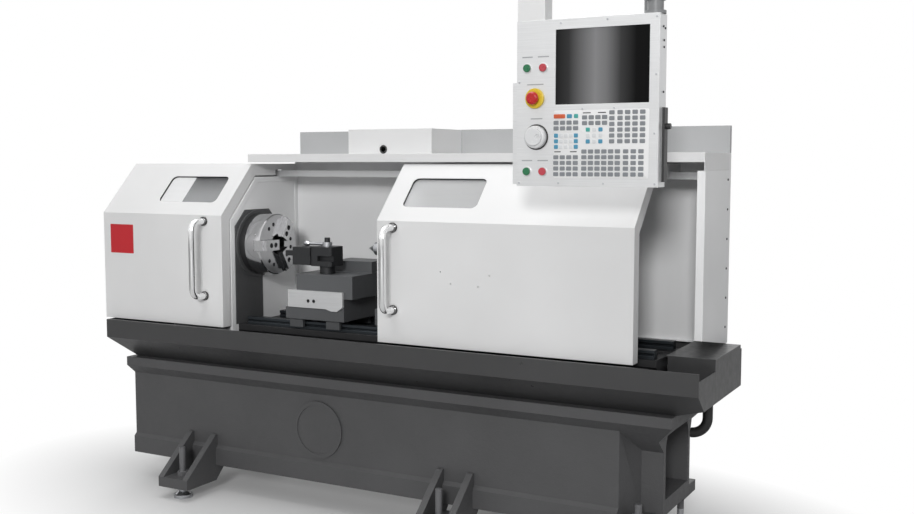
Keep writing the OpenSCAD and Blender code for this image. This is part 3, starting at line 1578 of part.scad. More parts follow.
base_casting();
levelling_feet();
chip_pan();
end_cover();
z_motor();
drain_elbow();
bed_casting();
way_rails();
headstock();
spindle_bearings();
headstock_cover();
back_panel();
side_panel();
roof_panel();
door_rail();
spindle_motor();
drive_belt();
control_cabinet();
drive_modules();
junction_box();
boom_post();
left_door();
left_window();
left_handle();
left_glides();
right_door();
right_window();
right_handle();
right_glides();
spindle();
spindle_pulley();
chuck_body();
jaw_1();
jaw_2();
jaw_3();
motor_pulley();
saddle();
way_wiper();
cross_slide();
tool_post();
tool_holder();
clamp_lever();
z_screw();
tailstock_body();
quill();
live_centre();
handwheel();
boom_arm();
pendant_housing();
pendant_plate();
screen();
key_field();
power_on_button();
power_off_button();
cycle_start_button();
feed_hold_button();
estop_button();
jog_wheel();
accessory_box();
cabinet_door();
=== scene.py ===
# %% [markdown]
# # A flat-bed turning lathe
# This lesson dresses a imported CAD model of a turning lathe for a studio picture. The CAD solids stay the
# frame of everything: they carry the sizes, the joints and the places. Blender adds finishes, softened edges
# and the small trim that a drawing leaves out, such as gaskets, key caps and screw heads.

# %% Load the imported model
import json, math
import bmesh, bpy
import numpy as np
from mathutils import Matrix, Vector

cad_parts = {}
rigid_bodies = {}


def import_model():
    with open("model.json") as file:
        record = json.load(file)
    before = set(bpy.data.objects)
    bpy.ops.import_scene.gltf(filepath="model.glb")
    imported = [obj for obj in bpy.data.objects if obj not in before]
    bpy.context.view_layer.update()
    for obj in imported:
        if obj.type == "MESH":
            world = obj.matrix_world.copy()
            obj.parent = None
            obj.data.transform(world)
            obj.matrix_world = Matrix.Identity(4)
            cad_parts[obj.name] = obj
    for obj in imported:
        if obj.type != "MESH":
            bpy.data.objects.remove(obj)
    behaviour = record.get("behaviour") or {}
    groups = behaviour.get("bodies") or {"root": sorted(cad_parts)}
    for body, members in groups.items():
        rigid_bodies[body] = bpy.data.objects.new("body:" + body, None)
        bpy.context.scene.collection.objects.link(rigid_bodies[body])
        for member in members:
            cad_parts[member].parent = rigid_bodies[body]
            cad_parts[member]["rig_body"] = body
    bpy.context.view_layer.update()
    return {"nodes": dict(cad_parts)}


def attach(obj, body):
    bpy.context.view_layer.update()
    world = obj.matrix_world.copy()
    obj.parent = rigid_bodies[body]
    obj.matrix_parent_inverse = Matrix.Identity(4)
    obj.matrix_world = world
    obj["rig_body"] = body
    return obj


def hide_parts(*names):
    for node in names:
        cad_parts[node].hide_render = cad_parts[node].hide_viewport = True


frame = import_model()
scene = bpy.context.scene

# %% [markdown]
# ## The camera
# The picture was taken from the operator's right, a little above the spindle. The lens and the angles were
# worked out from the edges of the chip pan, whose corners are known in the drawing. One drawing frame is used
# for all places here: millimetres from the pan's left end, its front face and the floor.

# %% Drawing millimetres and the camera
def row(mm):
    """Drawing millimetres to the model's metres: subtract the drawing's origin, divide by 1000."""
    return (np.asarray(mm, float) - (1250.0, 348.25, 0.0)) / 1000.0


AXIS_Y, AXIS_Z = 250.0, 1018.0  # the spindle's axis
DOOR_FACE = 29.0  # the front of both doors
KNEE = 1141.0  # the height where a door's front turns into its slope
SLOPE = math.atan2(203.0, 193.0)  # the slope's angle to the floor
FACE = -163.0  # the front of the pendant's plate
CASE_SIDE = 2439.0  # the right side of the pendant's case
X, Y, Z = np.eye(3)

eye = bpy.data.objects.new("camera", bpy.data.cameras.new("camera"))
eye.data.lens, eye.data.sensor_width = 42.81, 36.0
eye.location = row((3447.4, -3294.2, 1352.1))
eye.rotation_euler = (math.radians(84.9947), 0.0, math.radians(28.2814))
scene.collection.objects.link(eye)
scene.camera = eye
scene.view_settings.view_transform = "Standard"
print("camera at", [round(v, 3) for v in eye.location])

# %% [markdown]
# ## Node helpers
# Every finish is a small tree of shader nodes. Three helpers keep the trees short: one starts a material,
# one adds a node with its values, and one measures the place on the part in metres.

# %% Node helpers
def start(name):
    """A new material, its node tree and its principled shader."""
    mat = bpy.data.materials.new(name)
    mat.use_nodes = True
    return mat, mat.node_tree, mat.node_tree.nodes["Principled BSDF"]


def node(tree, kind, links=(), **values):
    """Adds a shader node. values set its sockets (by number or name) or its own settings; links feed sockets."""
    made = tree.nodes.new("ShaderNode" + kind)
    for key, value in values.items():
        if hasattr(made, key):
            setattr(made, key, value)
        else:
            made.inputs[int(key[1:]) if key[1:].isdigit() else key.replace("_", " ")].default_value = value
    for socket, source in links:
        tree.links.new(source, made.inputs[socket])
    return made


def place(tree, stretch=(1.0, 1.0, 1.0), centre=(0.0, 0.0, 0.0)):
    """Object coordinates, in metres, times stretch, after the drawing point centre is moved to zero."""
    coord = node(tree, "TexCoord")
    moved = node(tree, "Mapping", [("Vector", coord.outputs["Object"])])
    moved.inputs["Scale"].default_value = stretch
    moved.inputs["Location"].default_value = tuple(-np.asarray(centre) * np.asarray(stretch))
    return moved.outputs["Vector"]


def noise(tree, vector, scale, detail=3.0, rough=0.55):
    """Fractal noise of that many waves a metre, about 0 to 1."""
    return node(tree, "TexNoise", [("Vector", vector)], Scale=scale, Detail=detail, Roughness=rough).outputs["Fac"]


def band(tree, source, low, high, to_low, to_high):
    """A straight map of source from low..high to to_low..to_high, clamped at both ends."""
    made = node(tree, "MapRange", [("Value", source)])
    for key, value in zip(("From Min", "From Max", "To Min", "To Max"), (low, high, to_low, to_high)):
        made.inputs[key].default_value = value
    return made.outputs["Result"]


def blend(tree, factor, first, second):
    """Colour mix: first at factor 0, second at 1. Each is a colour or a socket."""
    made = node(tree, "Mix", data_type="RGBA")
    tree.links.new(factor, made.inputs["Factor"])
    for socket, value in ((made.inputs[6], first), (made.inputs[7], second)):
        if hasattr(value, "is_linked"):
            tree.links.new(value, socket)
        else:
            socket.default_value = (*value, 1.0)
    return made.outputs[2]


def shade(colour, factor):
    """A colour made lighter or darker by factor."""
    return tuple(min(1.0, c * factor) for c in colour)


print("helpers ready")

# %% [markdown]
# ## Painted sheet metal
# Doors and covers are powder coated. Real powder coat isn't one colour: it has a fine orange peel, slow
# changes of tone over a panel, and spots where hands have polished it. Peel goes into the bump, tone into the
# colour, and the polish into the roughness.

# %% Paint finishes
def paint(name, colour, rough, peel=650.0, depth=0.00012, tone=0.035, cast=0.0):
    """Paint: colour times (1 +- tone) by slow noise, roughness +-0.06 by quick noise, bump from peel-sized
    grains of that depth in metres, and, for castings, a second coarser bump of depth cast."""
    mat, tree, shader = start(name)
    here = place(tree)
    slow = noise(tree, here, 2.3, 2.0)
    toned = blend(tree, band(tree, slow, 0.3, 0.7, 0.0, 1.0), shade(colour, 1 - tone), shade(colour, 1 + tone))
    tree.links.new(toned, shader.inputs["Base Color"])
    quick = noise(tree, here, 38.0, 4.0)
    tree.links.new(band(tree, quick, 0.25, 0.75, rough - 0.06, rough + 0.06), shader.inputs["Roughness"])
    grain = node(tree, "Bump", [("Height", noise(tree, here, peel, 2.0))], Distance=depth, Strength=0.6)
    last = grain
    if cast:
        last = node(tree, "Bump", [("Height", noise(tree, here, 95.0, 5.0, 0.65)), ("Normal", grain.outputs[0])],
                    Distance=cast, Strength=0.7)
    tree.links.new(last.outputs[0], shader.inputs["Normal"])
    return mat


door_white = paint("door_white", (0.74, 0.74, 0.74), 0.42)
# The covers inside the hood and the side panel are the doors' white sheet made lighter: painted light that brightens
# the shaded room behind the doors.
cover_grey = paint("cover_grey", (0.85, 0.852, 0.855), 0.45)
cabinet_grey = paint("cabinet_grey", (0.56, 0.57, 0.58), 0.45)
pan_charcoal = paint("pan_charcoal", (0.046, 0.046, 0.047), 0.33, peel=420.0, depth=0.00025, tone=0.10)
base_iron = paint("base_iron", (0.066, 0.066, 0.068), 0.55, peel=380.0, depth=0.0003, tone=0.12, cast=0.0011)
bed_iron = paint("bed_iron", (0.010, 0.010, 0.011), 0.55, peel=380.0, depth=0.0003, tone=0.12, cast=0.0008)
head_iron = paint("head_iron", (0.070, 0.071, 0.073), 0.5, peel=380.0, depth=0.0003, tone=0.12, cast=0.0008)
slide_iron = paint("slide_iron", (0.085, 0.088, 0.092), 0.42, peel=420.0, depth=0.0002, tone=0.10, cast=0.0004)
print("paints", len(bpy.data.materials))

# %% [markdown]
# ## Bare metal
# Ground and brushed steel shows fine parallel scratches. Stretching a noise far along one axis turns its
# grains into lines. A turned part, such as the chuck, has its lines round the axis, so the noise reads the
# radius instead of a straight direction.

# %% Metal finishes
def brushed(name, colour, rough, stretch, metal=1.0, depth=0.00003, spread=0.10):
    """Metal with scratches: noise over a space stretched along the grain gives tone, roughness and bump."""
    mat, tree, shader = start(name)
    lines = noise(tree, place(tree, stretch), 1.0, 3.0, 0.7)
    slow = noise(tree, place(tree), 5.0, 3.0)
    toned = blend(tree, band(tree, lines, 0.3, 0.7, 0.0, 1.0), shade(colour, 0.90), shade(colour, 1.06))
    tree.links.new(blend(tree, band(tree, slow, 0.35, 0.7, 0.0, 0.35), toned, shade(colour, 0.82)),
                   shader.inputs["Base Color"])
    tree.links.new(band(tree, lines, 0.25, 0.75, rough - spread / 2, rough + spread), shader.inputs["Roughness"])
    bump = node(tree, "Bump", [("Height", lines)], Distance=depth, Strength=0.5)
    tree.links.new(bump.outputs[0], shader.inputs["Normal"])
    shader.inputs["Metallic"].default_value = metal
    return mat


def turned(name, colour, rough, pitch, metal=1.0):
    """Turned metal: noise read at (radius from the spindle axis, place along it), so the lines are rings."""
    mat, tree, shader = start(name)
    here = place(tree, centre=row((0.0, AXIS_Y, AXIS_Z)))
    parts = node(tree, "SeparateXYZ", [("Vector", here)])
    flat = node(tree, "CombineXYZ", [("Y", parts.outputs["Y"]), ("Z", parts.outputs["Z"])])
    radius = node(tree, "VectorMath", [(0, flat.outputs[0])], operation="LENGTH").outputs["Value"]
    spot = node(tree, "CombineXYZ", [("X", radius), ("Y", parts.outputs["X"])])
    rings = noise(tree, spot.outputs[0], pitch, 3.0, 0.7)
    slow = noise(tree, here, 9.0, 3.0)
    toned = blend(tree, band(tree, rings, 0.3, 0.7, 0.0, 1.0), shade(colour, 0.86), shade(colour, 1.08))
    tree.links.new(blend(tree, band(tree, slow, 0.4, 0.7, 0.0, 0.3), toned, shade(colour, 0.75)),
                   shader.inputs["Base Color"])
    tree.links.new(band(tree, rings, 0.25, 0.75, rough - 0.06, rough + 0.10), shader.inputs["Roughness"])
    bump = node(tree, "Bump", [("Height", rings)], Distance=0.00004, Strength=0.5)
    tree.links.new(bump.outputs[0], shader.inputs["Normal"])
    shader.inputs["Metallic"].default_value = metal
    return mat


ground_steel = brushed("ground_steel", (0.55, 0.56, 0.58), 0.30, (9.0, 700.0, 700.0))
plate_steel = brushed("plate_steel", (0.62, 0.625, 0.63), 0.34, (9.0, 700.0, 700.0), metal=0.4)
way_steel = brushed("way_steel", (0.060, 0.068, 0.076), 0.38, (6.0, 800.0, 800.0))
jaw_steel = brushed("jaw_steel", (0.68, 0.68, 0.69), 0.20, (700.0, 60.0, 60.0))
chuck_steel = turned("chuck_steel", (0.60, 0.60, 0.61), 0.13, 900.0)
spindle_steel = turned("spindle_steel", (0.45, 0.46, 0.48), 0.30, 700.0)
black_steel = turned("black_steel", (0.035, 0.036, 0.038), 0.38, 600.0, metal=0.6)
tool_black = brushed("tool_black", (0.030, 0.031, 0.033), 0.40, (300.0, 300.0, 40.0), metal=0.5)
handle_chrome = brushed("handle_chrome", (0.94, 0.945, 0.95), 0.10, (300.0, 300.0, 12.0), spread=0.05)
panel_aluminium = brushed("panel_aluminium", (0.74, 0.745, 0.75), 0.34, (5.0, 900.0, 900.0), metal=0.6)
boom_aluminium = brushed("boom_aluminium", (0.24, 0.245, 0.25), 0.36, (600.0, 600.0, 9.0))
print("metals", len(bpy.data.materials))

# %% [markdown]
# ## Plastics, rubber, glass and the display
# Moulded plastic has a faint spark-eroded grain and a soft sheen. The windows are sheets with a few wipe marks
# in their gloss: the left one is clear, and the right one lets less light through so its own pale tint shows,
# painted light for the lighter room behind it. The display is dark, with a painted reflection: one soft grey
# band across its width, painted into its colour.

# %% Plastic and glass finishes
def moulded(name, colour, rough, grain=900.0, depth=0.00008, tone=0.06):
    """Moulded plastic: paint with a finer grain and a wider change of tone."""
    return paint(name, colour, rough, peel=grain, depth=depth, tone=tone)


def pane_glass(name, tint, clear):
    """A pane that lets the share clear of the light through. Wipe marks are noise stretched along X, in its
    roughness and tint."""
    mat, tree, shader = start(name)
    wipe = noise(tree, place(tree, (4.0, 40.0, 40.0)), 1.0, 4.0)
    tree.links.new(band(tree, wipe, 0.4, 0.8, 0.02, 0.10), shader.inputs["Roughness"])
    tree.links.new(blend(tree, band(tree, wipe, 0.3, 0.7, 0.0, 1.0), shade(tint, 0.96), tint),
                   shader.inputs["Base Color"])
    shader.inputs["Transmission Weight"].default_value = clear
    shader.inputs["IOR"].default_value = 1.15
    return mat


def painted_reflection_display(name):
    """The dark display with a painted reflection: a soft grey band in its colour, set at shares of its width, under a
    weak gloss.
    """
    mat, tree, shader = start(name)
    parts = node(tree, "SeparateXYZ", [("Vector", place(tree))])
    left, right = row((2108.0, 0.0, 0.0))[0], row((2409.0, 0.0, 0.0))[0]
    ramp = node(tree, "ValToRGB", [("Fac", band(tree, parts.outputs["X"], left, right, 0.0, 1.0))])
    # painted reflection: the grey band of a studio light, painted as colour across the screen's width
    painted_sheen_tones = [(0.0, 0.012), (0.14, 0.036), (0.30, 0.150), (0.43, 0.240), (0.54, 0.190), (0.70, 0.045), (0.86, 0.004),
             (1.0, 0.003)]
    while len(ramp.color_ramp.elements) < len(painted_sheen_tones):
        ramp.color_ramp.elements.new(0.5)
    for stop, (share, tone) in zip(ramp.color_ramp.elements, painted_sheen_tones):
        stop.position, stop.color = share, (tone, tone, tone * 1.02, 1.0)
    speck = noise(tree, place(tree), 30.0)
    tree.links.new(ramp.outputs["Color"], shader.inputs["Base Color"])
    tree.links.new(band(tree, speck, 0.3, 0.7, 0.16, 0.24), shader.inputs["Roughness"])
    shader.inputs["Specular IOR Level"].default_value = 0.08
    return mat


left_pane = pane_glass("left_pane", (0.82, 0.825, 0.83), 0.95)
# The right pane lets less light through than the left, so its pale tint shows: painted light standing in for the
# lighter room behind it.
right_pane_painted_light = pane_glass("right_pane_painted_light", (0.80, 0.805, 0.81), 0.62)
display_painted_reflection = painted_reflection_display("display_painted_reflection")
black_rubber = moulded("black_rubber", (0.012, 0.012, 0.012), 0.62, 500.0, 0.0002)
black_plastic = moulded("black_plastic", (0.016, 0.016, 0.017), 0.45)
white_plastic = moulded("white_plastic", (0.80, 0.80, 0.80), 0.40)
grey_plastic = moulded("grey_plastic", (0.55, 0.56, 0.57), 0.38)
jog_silver = moulded("jog_silver", (0.72, 0.725, 0.73), 0.26)
key_grey = moulded("key_grey", (0.22, 0.235, 0.25), 0.45)
key_blue = moulded("key_blue", (0.07, 0.28, 0.42), 0.45)
key_teal = moulded("key_teal", (0.06, 0.36, 0.32), 0.45)
key_white = moulded("key_white", (0.70, 0.71, 0.72), 0.42)
plate_white = moulded("plate_white", (0.82, 0.82, 0.82), 0.38)
legend_grey = moulded("legend_grey", (0.36, 0.37, 0.38), 0.42)
key_orange = moulded("key_orange", (0.60, 0.11, 0.04), 0.42)
button_green = moulded("button_green", (0.02, 0.17, 0.07), 0.30)
button_red = moulded("button_red", (0.52, 0.06, 0.08), 0.30)
stop_red = moulded("stop_red", (0.50, 0.012, 0.012), 0.26)
stop_yellow = moulded("stop_yellow", (0.72, 0.52, 0.03), 0.36)
patch_red = moulded("patch_red", (0.52, 0.012, 0.02), 0.34)
print("finishes", len(bpy.data.materials))

# %% [markdown]
# ## Two colours on one CAD solid
# Some CAD solids join pieces that differ in finish, such as a chrome bar with black end rings, or the pendant's
# case with a black strip on its side. On the headstock cover and the back panel the darker part is painted
# shade instead. A sharp step on one coordinate picks the finish by place on the part, so the solid itself stays
# whole.

# %% Split finishes
def split(name, first, tone, rough, axis, mm, below=False):
    """Copy of first that turns into a plain paint of colour tone where the drawing coordinate axis is past mm,
    or short of it with below. The two shaders are mixed by a step half a millimetre wide."""
    mat = first.copy()
    mat.name = name
    tree = mat.node_tree
    kept = tree.nodes["Material Output"].inputs["Surface"].links[0].from_socket
    other = node(tree, "BsdfPrincipled")
    grain = noise(tree, place(tree), 300.0)
    slow = noise(tree, place(tree), 2.5)
    tree.links.new(blend(tree, band(tree, slow, 0.3, 0.7, 0.0, 1.0), shade(tone, 0.92), shade(tone, 1.08)),
                   other.inputs["Base Color"])
    tree.links.new(band(tree, grain, 0.3, 0.7, rough - 0.05, rough + 0.06), other.inputs["Roughness"])
    bump = node(tree, "Bump", [("Height", grain)], Distance=0.0001, Strength=0.5)
    tree.links.new(bump.outputs[0], other.inputs["Normal"])
    parts = node(tree, "SeparateXYZ", [("Vector", place(tree))])
    edge = row((mm, mm, mm))["XYZ".index(axis)]
    step = band(tree, parts.outputs[axis], edge - 0.00025, edge + 0.00025, float(below), float(not below))
    both = node(tree, "MixShader", [("Fac", step), (1, kept), (2, other.outputs[0])])
    tree.links.new(both.outputs[0], tree.nodes["Material Output"].inputs["Surface"])
    return mat


handle_two = split("handle_two", handle_chrome, (0.02, 0.02, 0.02), 0.5, "Y", DOOR_FACE - 8.2)
case_two = split("case_two", panel_aluminium, (0.016, 0.016, 0.017), 0.45, "X", CASE_SIDE + 0.3)
case_three = split("case_three", case_two, (0.25, 0.255, 0.26), 0.40, "Z", 1789.2)
# On the headstock cover the part short of X 598 mm is painted shade: the hood's shadow, seen through the left window.
cover_painted_shade = split("cover_painted_shade", cover_grey, (0.32, 0.323, 0.327), 0.45, "X", 598.0, below=True)
chuck_two = split("chuck_two", chuck_steel, (0.018, 0.018, 0.019), 0.40, "X", 615.0 + 26.0, below=True)
feet_two = split("feet_two", ground_steel, (0.13, 0.13, 0.135), 0.38, "Z", 62.0)
# On the back panel the band above 1383 mm is painted shade: the darker upper sheet under the roof.
back_painted_shade = split("back_painted_shade", cover_grey, (0.42, 0.425, 0.43), 0.45, "Z", 1383.2)
print("split finishes ready")

# %% [markdown]
# ## Softened edges on the CAD solids
# A real edge is never perfectly sharp: folded sheet has a bend radius and machined iron has a broken corner,
# and both catch a thin line of light. A CAD node's own mesh must stay as it is, so each shown solid is copied,
# its doubles are merged, flat facets are joined, and a Bevel modifier rounds what is sharper than 30 degrees.

# %% Skins over the CAD solids
def skin(name, finish, width=0.0015, steps=2):
    """A copy of the node with merged vertices, joined coplanar faces and bevelled edges stands for the node."""
    source = frame["nodes"][name]
    mesh = source.data.copy()
    mesh.name = name + "_skin"
    work = bmesh.new()
    work.from_mesh(mesh)
    bmesh.ops.remove_doubles(work, verts=work.verts, dist=1e-6)
    bmesh.ops.dissolve_limit(work, angle_limit=math.radians(1.0), verts=work.verts, edges=work.edges)
    work.to_mesh(mesh)
    work.free()
    for layer in [a.name for a in mesh.attributes if a.name == "custom_normal"]:
        mesh.attributes.remove(mesh.attributes[layer])
    mesh.materials.clear()
    mesh.materials.append(finish)
    mesh.shade_smooth()
    mesh.set_sharp_from_angle(angle=math.radians(30.0))
    made = bpy.data.objects.new(name + "_skin", mesh)
    scene.collection.objects.link(made)
    if width:
        soft = made.modifiers.new("edge", "BEVEL")
        soft.width, soft.segments, soft.limit_method = width, steps, "ANGLE"
        soft.angle_limit = math.radians(30.0)
        soft.harden_normals = True
    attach(made, source["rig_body"])
    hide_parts(name)
    return made


SKINS = {
    "base_casting": (base_iron, 0.005), "levelling_feet": (feet_two, 0.0015),
    "chip_pan": (pan_charcoal, 0.0008), "end_cover": (pan_charcoal, 0.001), "z_motor": (black_plastic, 0.002),
    "drain_elbow": (black_rubber, 0.0008), "bed_casting": (bed_iron, 0.003), "way_rails": (way_steel, 0.001),
    "headstock": (head_iron, 0.003), "headstock_cover": (cover_painted_shade, 0.0007), "back_panel": (back_painted_shade, 0.0007),
    "side_panel": (cover_grey, 0.0008), "roof_panel": (door_white, 0.0008),
    "door_rail": (panel_aluminium, 0.0007), "spindle_motor": (black_plastic, 0.001),
    "control_cabinet": (cabinet_grey, 0.0008), "drive_modules": (grey_plastic, 0.0012),
    "junction_box": (door_white, 0.0008), "boom_post": (boom_aluminium, 0.0015),
    "left_door": (door_white, 0.0009), "right_door": (door_white, 0.0009), "left_window": (left_pane, 0.0),
    "right_window": (right_pane_painted_light, 0.0), "left_handle": (handle_two, 0.0008),
    "right_handle": (handle_two, 0.0008), "left_glides": (black_plastic, 0.0008),
    "right_glides": (black_plastic, 0.0008), "spindle": (spindle_steel, 0.001),
    "chuck_body": (chuck_two, 0.0012), "jaw_1": (jaw_steel, 0.001), "jaw_2": (jaw_steel, 0.001),
    "jaw_3": (jaw_steel, 0.001), "saddle": (slide_iron, 0.002), "way_wiper": (plate_steel, 0.0008),
    "cross_slide": (slide_iron, 0.0025), "tool_post": (tool_black, 0.0012), "tool_holder": (tool_black, 0.001),
    "clamp_lever": (ground_steel, 0.0012), "z_screw": (ground_steel, 0.0008),
    "tailstock_body": (slide_iron, 0.003), "quill": (spindle_steel, 0.0008),
    "live_centre": (spindle_steel, 0.0006), "handwheel": (black_steel, 0.0015),
    "boom_arm": (boom_aluminium, 0.002), "pendant_housing": (case_three, 0.0012),
    "pendant_plate": (panel_aluminium, 0.0006), "screen": (display_painted_reflection, 0.0005),
    "power_on_button": (button_green, 0.002), "power_off_button": (button_red, 0.002),
    "cycle_start_button": (button_green, 0.002), "feed_hold_button": (button_red, 0.002),
    "estop_button": (stop_red, 0.004), "jog_wheel": (jog_silver, 0.002),
    "accessory_box": (white_plastic, 0.002), "cabinet_door": (cabinet_grey, 0.0008),
    "spindle_bearings": (ground_steel, 0.0008), "spindle_pulley": (black_steel, 0.0008),
    "motor_pulley": (black_steel, 0.0008), "drive_belt": (black_rubber, 0.0),
}
skins = {name: skin(name, *rest) for name, rest in SKINS.items()}
print("skins", len(skins), "of", len(frame["nodes"]))

# %% [markdown]
# ## Small surfaces from formulas
# The trim is made of two kinds of surface. A *stud* is an outline that shrinks through a few levels, from a
# closed foot to a closed top: screw heads, key caps and plain labels. A *bead* is a small profile carried
# round a closed path: gaskets, rings and grommets. Both are grids of numbers, so many copies cost one formula.

# %% Surface helpers
def quads(rows, cols, ring_rows=False):
    """Corner numbers of the quads between neighbours of a rows x cols grid whose columns close to a ring."""
    i, j = np.meshgrid(np.arange(rows if ring_rows else rows - 1), np.arange(cols), indexing="ij")
    i, j = i.ravel(), j.ravel()
    down, right = (i + 1) % rows, (j + 1) % cols
    return np.stack([i * cols + j, down * cols + j, down * cols + right, i * cols + right], axis=1)


def piece(name, points, faces, finish, body, sharp=35.0):
    """Puts arrays of points (metres) and quads into a mesh, closes its poles, turns its faces outwards."""
    mesh = bpy.data.meshes.new(name)
    mesh.from_pydata(points.reshape(-1, 3).tolist(), [], faces.tolist())
    work = bmesh.new()
    work.from_mesh(mesh)
    bmesh.ops.remove_doubles(work, verts=work.verts, dist=1e-7)
    bmesh.ops.dissolve_degenerate(work, edges=work.edges, dist=1e-8)
    bmesh.ops.recalc_face_normals(work, faces=work.faces)
    work.to_mesh(mesh)
    work.free()
    mesh.materials.append(finish)
    mesh.shade_smooth()
    mesh.set_sharp_from_angle(angle=math.radians(sharp))
    made = bpy.data.objects.new(name, mesh)
    scene.collection.objects.link(made)
    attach(made, body)
    return made


def rounded_outline(wide, high, radius, arc=6):
    """Points (n, 2) of a rectangle with round corners about its middle: four arcs of the corner radius."""
    turn = (np.arange(4)[:, None] * 90.0 + np.linspace(0.0, 90.0, arc)[None, :]) * math.pi / 180.0
    sign = np.array([(1, 1), (-1, 1), (-1, -1), (1, -1)], float)[:, None, :]
    core = sign * (np.array([wide, high]) / 2.0 - radius)
    return (core + radius * np.stack([np.cos(turn), np.sin(turn)], axis=2)).reshape(-1, 2)


def round_outline(radius, sides=20):
    """Points (n, 2) of a circle."""
    turn = np.arange(sides) * 2.0 * math.pi / sides
    return radius * np.stack([np.cos(turn), np.sin(turn)], axis=1)


def studs(name, centres, outline, levels, across, up, finish, body):
    """Stud k: centre_k + s (u across + v up) + h out, for each (s, h) in levels and each outline point (u, v),
    with out = across x up. Sizes are millimetres; outline may hold one outline or one for each stud."""
    across, up = np.asarray(across, float), np.asarray(up, float)
    out = np.cross(across, up)
    centres = np.atleast_2d(np.asarray(centres, float))
    outline = np.broadcast_to(outline, (len(centres),) + np.shape(outline)[-2:])
    size, height = np.asarray(levels, float).T
    flat = outline[..., :1] * across + outline[..., 1:] * up
    size, height = size[None, :, None, None], height[None, :, None, None]
    points = centres[:, None, None, :] + size * flat[:, None] + height * out
    rows, cols = points.shape[1:3]
    faces = (quads(rows, cols)[None] + (np.arange(len(centres)) * rows * cols)[:, None, None]).reshape(-1, 4)
    return piece(name, row(points.reshape(-1, 3)), faces, finish, body)


def bead(name, path, normal, profile, finish, body):
    """Ring: path_i + a side_i + b normal for each profile point (a, b), side = normal x tangent, tangent from
    the path's neighbours. The path is closed and lies in the plane of normal. Millimetres."""
    normal = np.asarray(normal, float)
    tangent = np.roll(path, -1, axis=0) - np.roll(path, 1, axis=0)
    tangent /= np.linalg.norm(tangent, axis=1, keepdims=True)
    side = np.cross(normal, tangent)
    points = path[:, None, :] + profile[None, :, :1] * side[:, None, :] + profile[None, :, 1:] * normal
    faces = quads(*points.shape[:2], ring_rows=True)
    return piece(name, row(points.reshape(-1, 3)), faces, finish, body)


print("surface helpers ready")

# %% [markdown]
# ## Window gaskets
# Each window is a sheet set a finger's width behind a cut-out in the sloping hood. A black rubber section lies
# between the hood and the pane, so it shows only as a dark line at the far edges of the cut-out. The black bead
# is partly painted shade: it stands for the shadow inside the cut edge.

# %% Gaskets
def on_slope(x, s):
    """A point of the hood's slope: x along the machine, s up the slope from the knee, in drawing millimetres."""
    x, s = np.broadcast_arrays(np.asarray(x, float), np.asarray(s, float))
    return np.stack([x, DOOR_FACE + s * math.cos(SLOPE), KNEE + s * math.sin(SLOPE)], axis=-1)


slope_out = np.array([0.0, -math.sin(SLOPE), math.cos(SLOPE)])
rim = rounded_outline(302.0 + 3.0, 141.0 + 3.0, 23.0, arc=9)
lip = rounded_outline(6.0, 6.8, 1.2, arc=4) + (-1.2, -2.6 - 3.4)
for side, left in (("left", 232.0), ("right", 1406.0)):
    # The black bead is partly painted shade: it gives the dark line of the cut edge's shadow.
    path = on_slope(left + 151.0 + rim[:, 0], 68.0 + 70.5 + rim[:, 1])
    bead(side + "_gasket_and_shade", path, slope_out, lip, black_rubber, side + "_door_group")
print("gaskets made")

# %% [markdown]
# ## The pendant's key caps
# The operator's keys are rows of small moulded caps with soft corners. Groups differ in colour: grey keys for
# typing, blue and white keys for moving the axes, and one wide orange key. Every cap is one stud whose
# outline is a rounded rectangle, so the whole field is a table of middles and a few colours.

# %% Key caps
key_levels = [(0.0, 0.6), (1.0, 0.6), (1.0, 1.9), (0.965, 2.3), (0.90, 2.5), (0.45, 2.4), (0.0, 2.35)]


def block(x0, z0, columns, rows, pitch=(21.6, 17.4)):
    """Middles of a block of keys whose lower left key is at (x0, z0)."""
    i, j = np.meshgrid(np.arange(columns), np.arange(rows), indexing="ij")
    return np.stack([x0 + pitch[0] * i.ravel(), np.full(i.size, FACE), z0 + pitch[1] * j.ravel()], axis=1)


def caps(name, middles, wide, high, finish):
    """One piece of key caps on the pendant's face."""
    outline = rounded_outline(wide, high, 2.4, arc=4)
    return studs(name, np.concatenate(middles), outline, key_levels, X, Z, finish, "pendant")


plate_levels = [(0.0, -0.05), (1.0, -0.05), (1.0, 0.8), (0.997, 1.0), (0.0, 1.0)]
key_plate = studs("key_plate", [(2104.0 + 153.0, FACE, 1302.0 + 104.0)], rounded_outline(306.0, 208.0, 5.0),
                  plate_levels, X, Z, plate_white, "pendant")
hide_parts("key_field")
arrows = (41.0, 18.0)
caps("keys_grey", [block(2112, 1314, 4, 4), block(2112, 1455, 4, 2), block(2205, 1314, 6, 5),
                   block(2339, 1314, 3, 5, (24.0, 17.4)), block(2206, 1470, 4, 2), block(2294, 1414, 1, 6),
                   block(2320, 1414, 4, 6, (23.6, 17.4))], 17.0, 12.6, key_grey)
caps("keys_blue", [block(2112, 1398, 1, 3), block(2178, 1398, 1, 3), block(2217, 1414, 2, 1, arrows),
                   block(2258, 1450, 1, 1)], 13.5, 12.6, key_blue)
caps("keys_teal", [block(2178, 1492, 1, 1), block(2217, 1450, 1, 1)], 13.5, 12.6, key_teal)
caps("keys_sky", [block(2156, 1492, 1, 1)], 17.0, 12.6, key_blue)
caps("keys_white", [block(2129, 1398, 3, 3, (16.4, 17.4)), block(2237.5, 1414, 1, 3, arrows),
                    block(2217, 1432, 2, 1, arrows)], 12.5, 12.0, key_white)
caps("key_wide", [block(2123, 1492, 1, 1)], 38.0, 13.0, key_orange)
print("key caps made")

# %% [markdown]
# ## Rings, screws and plain labels
# A few turned rings and screw heads finish the control panel, the chuck jaws and the covers. The screw heads
# are low domes with a socket, all of one piece for each panel, because a head the size of a coin needs only a
# few dozen faces. Labels are plain bars and a plain red patch.

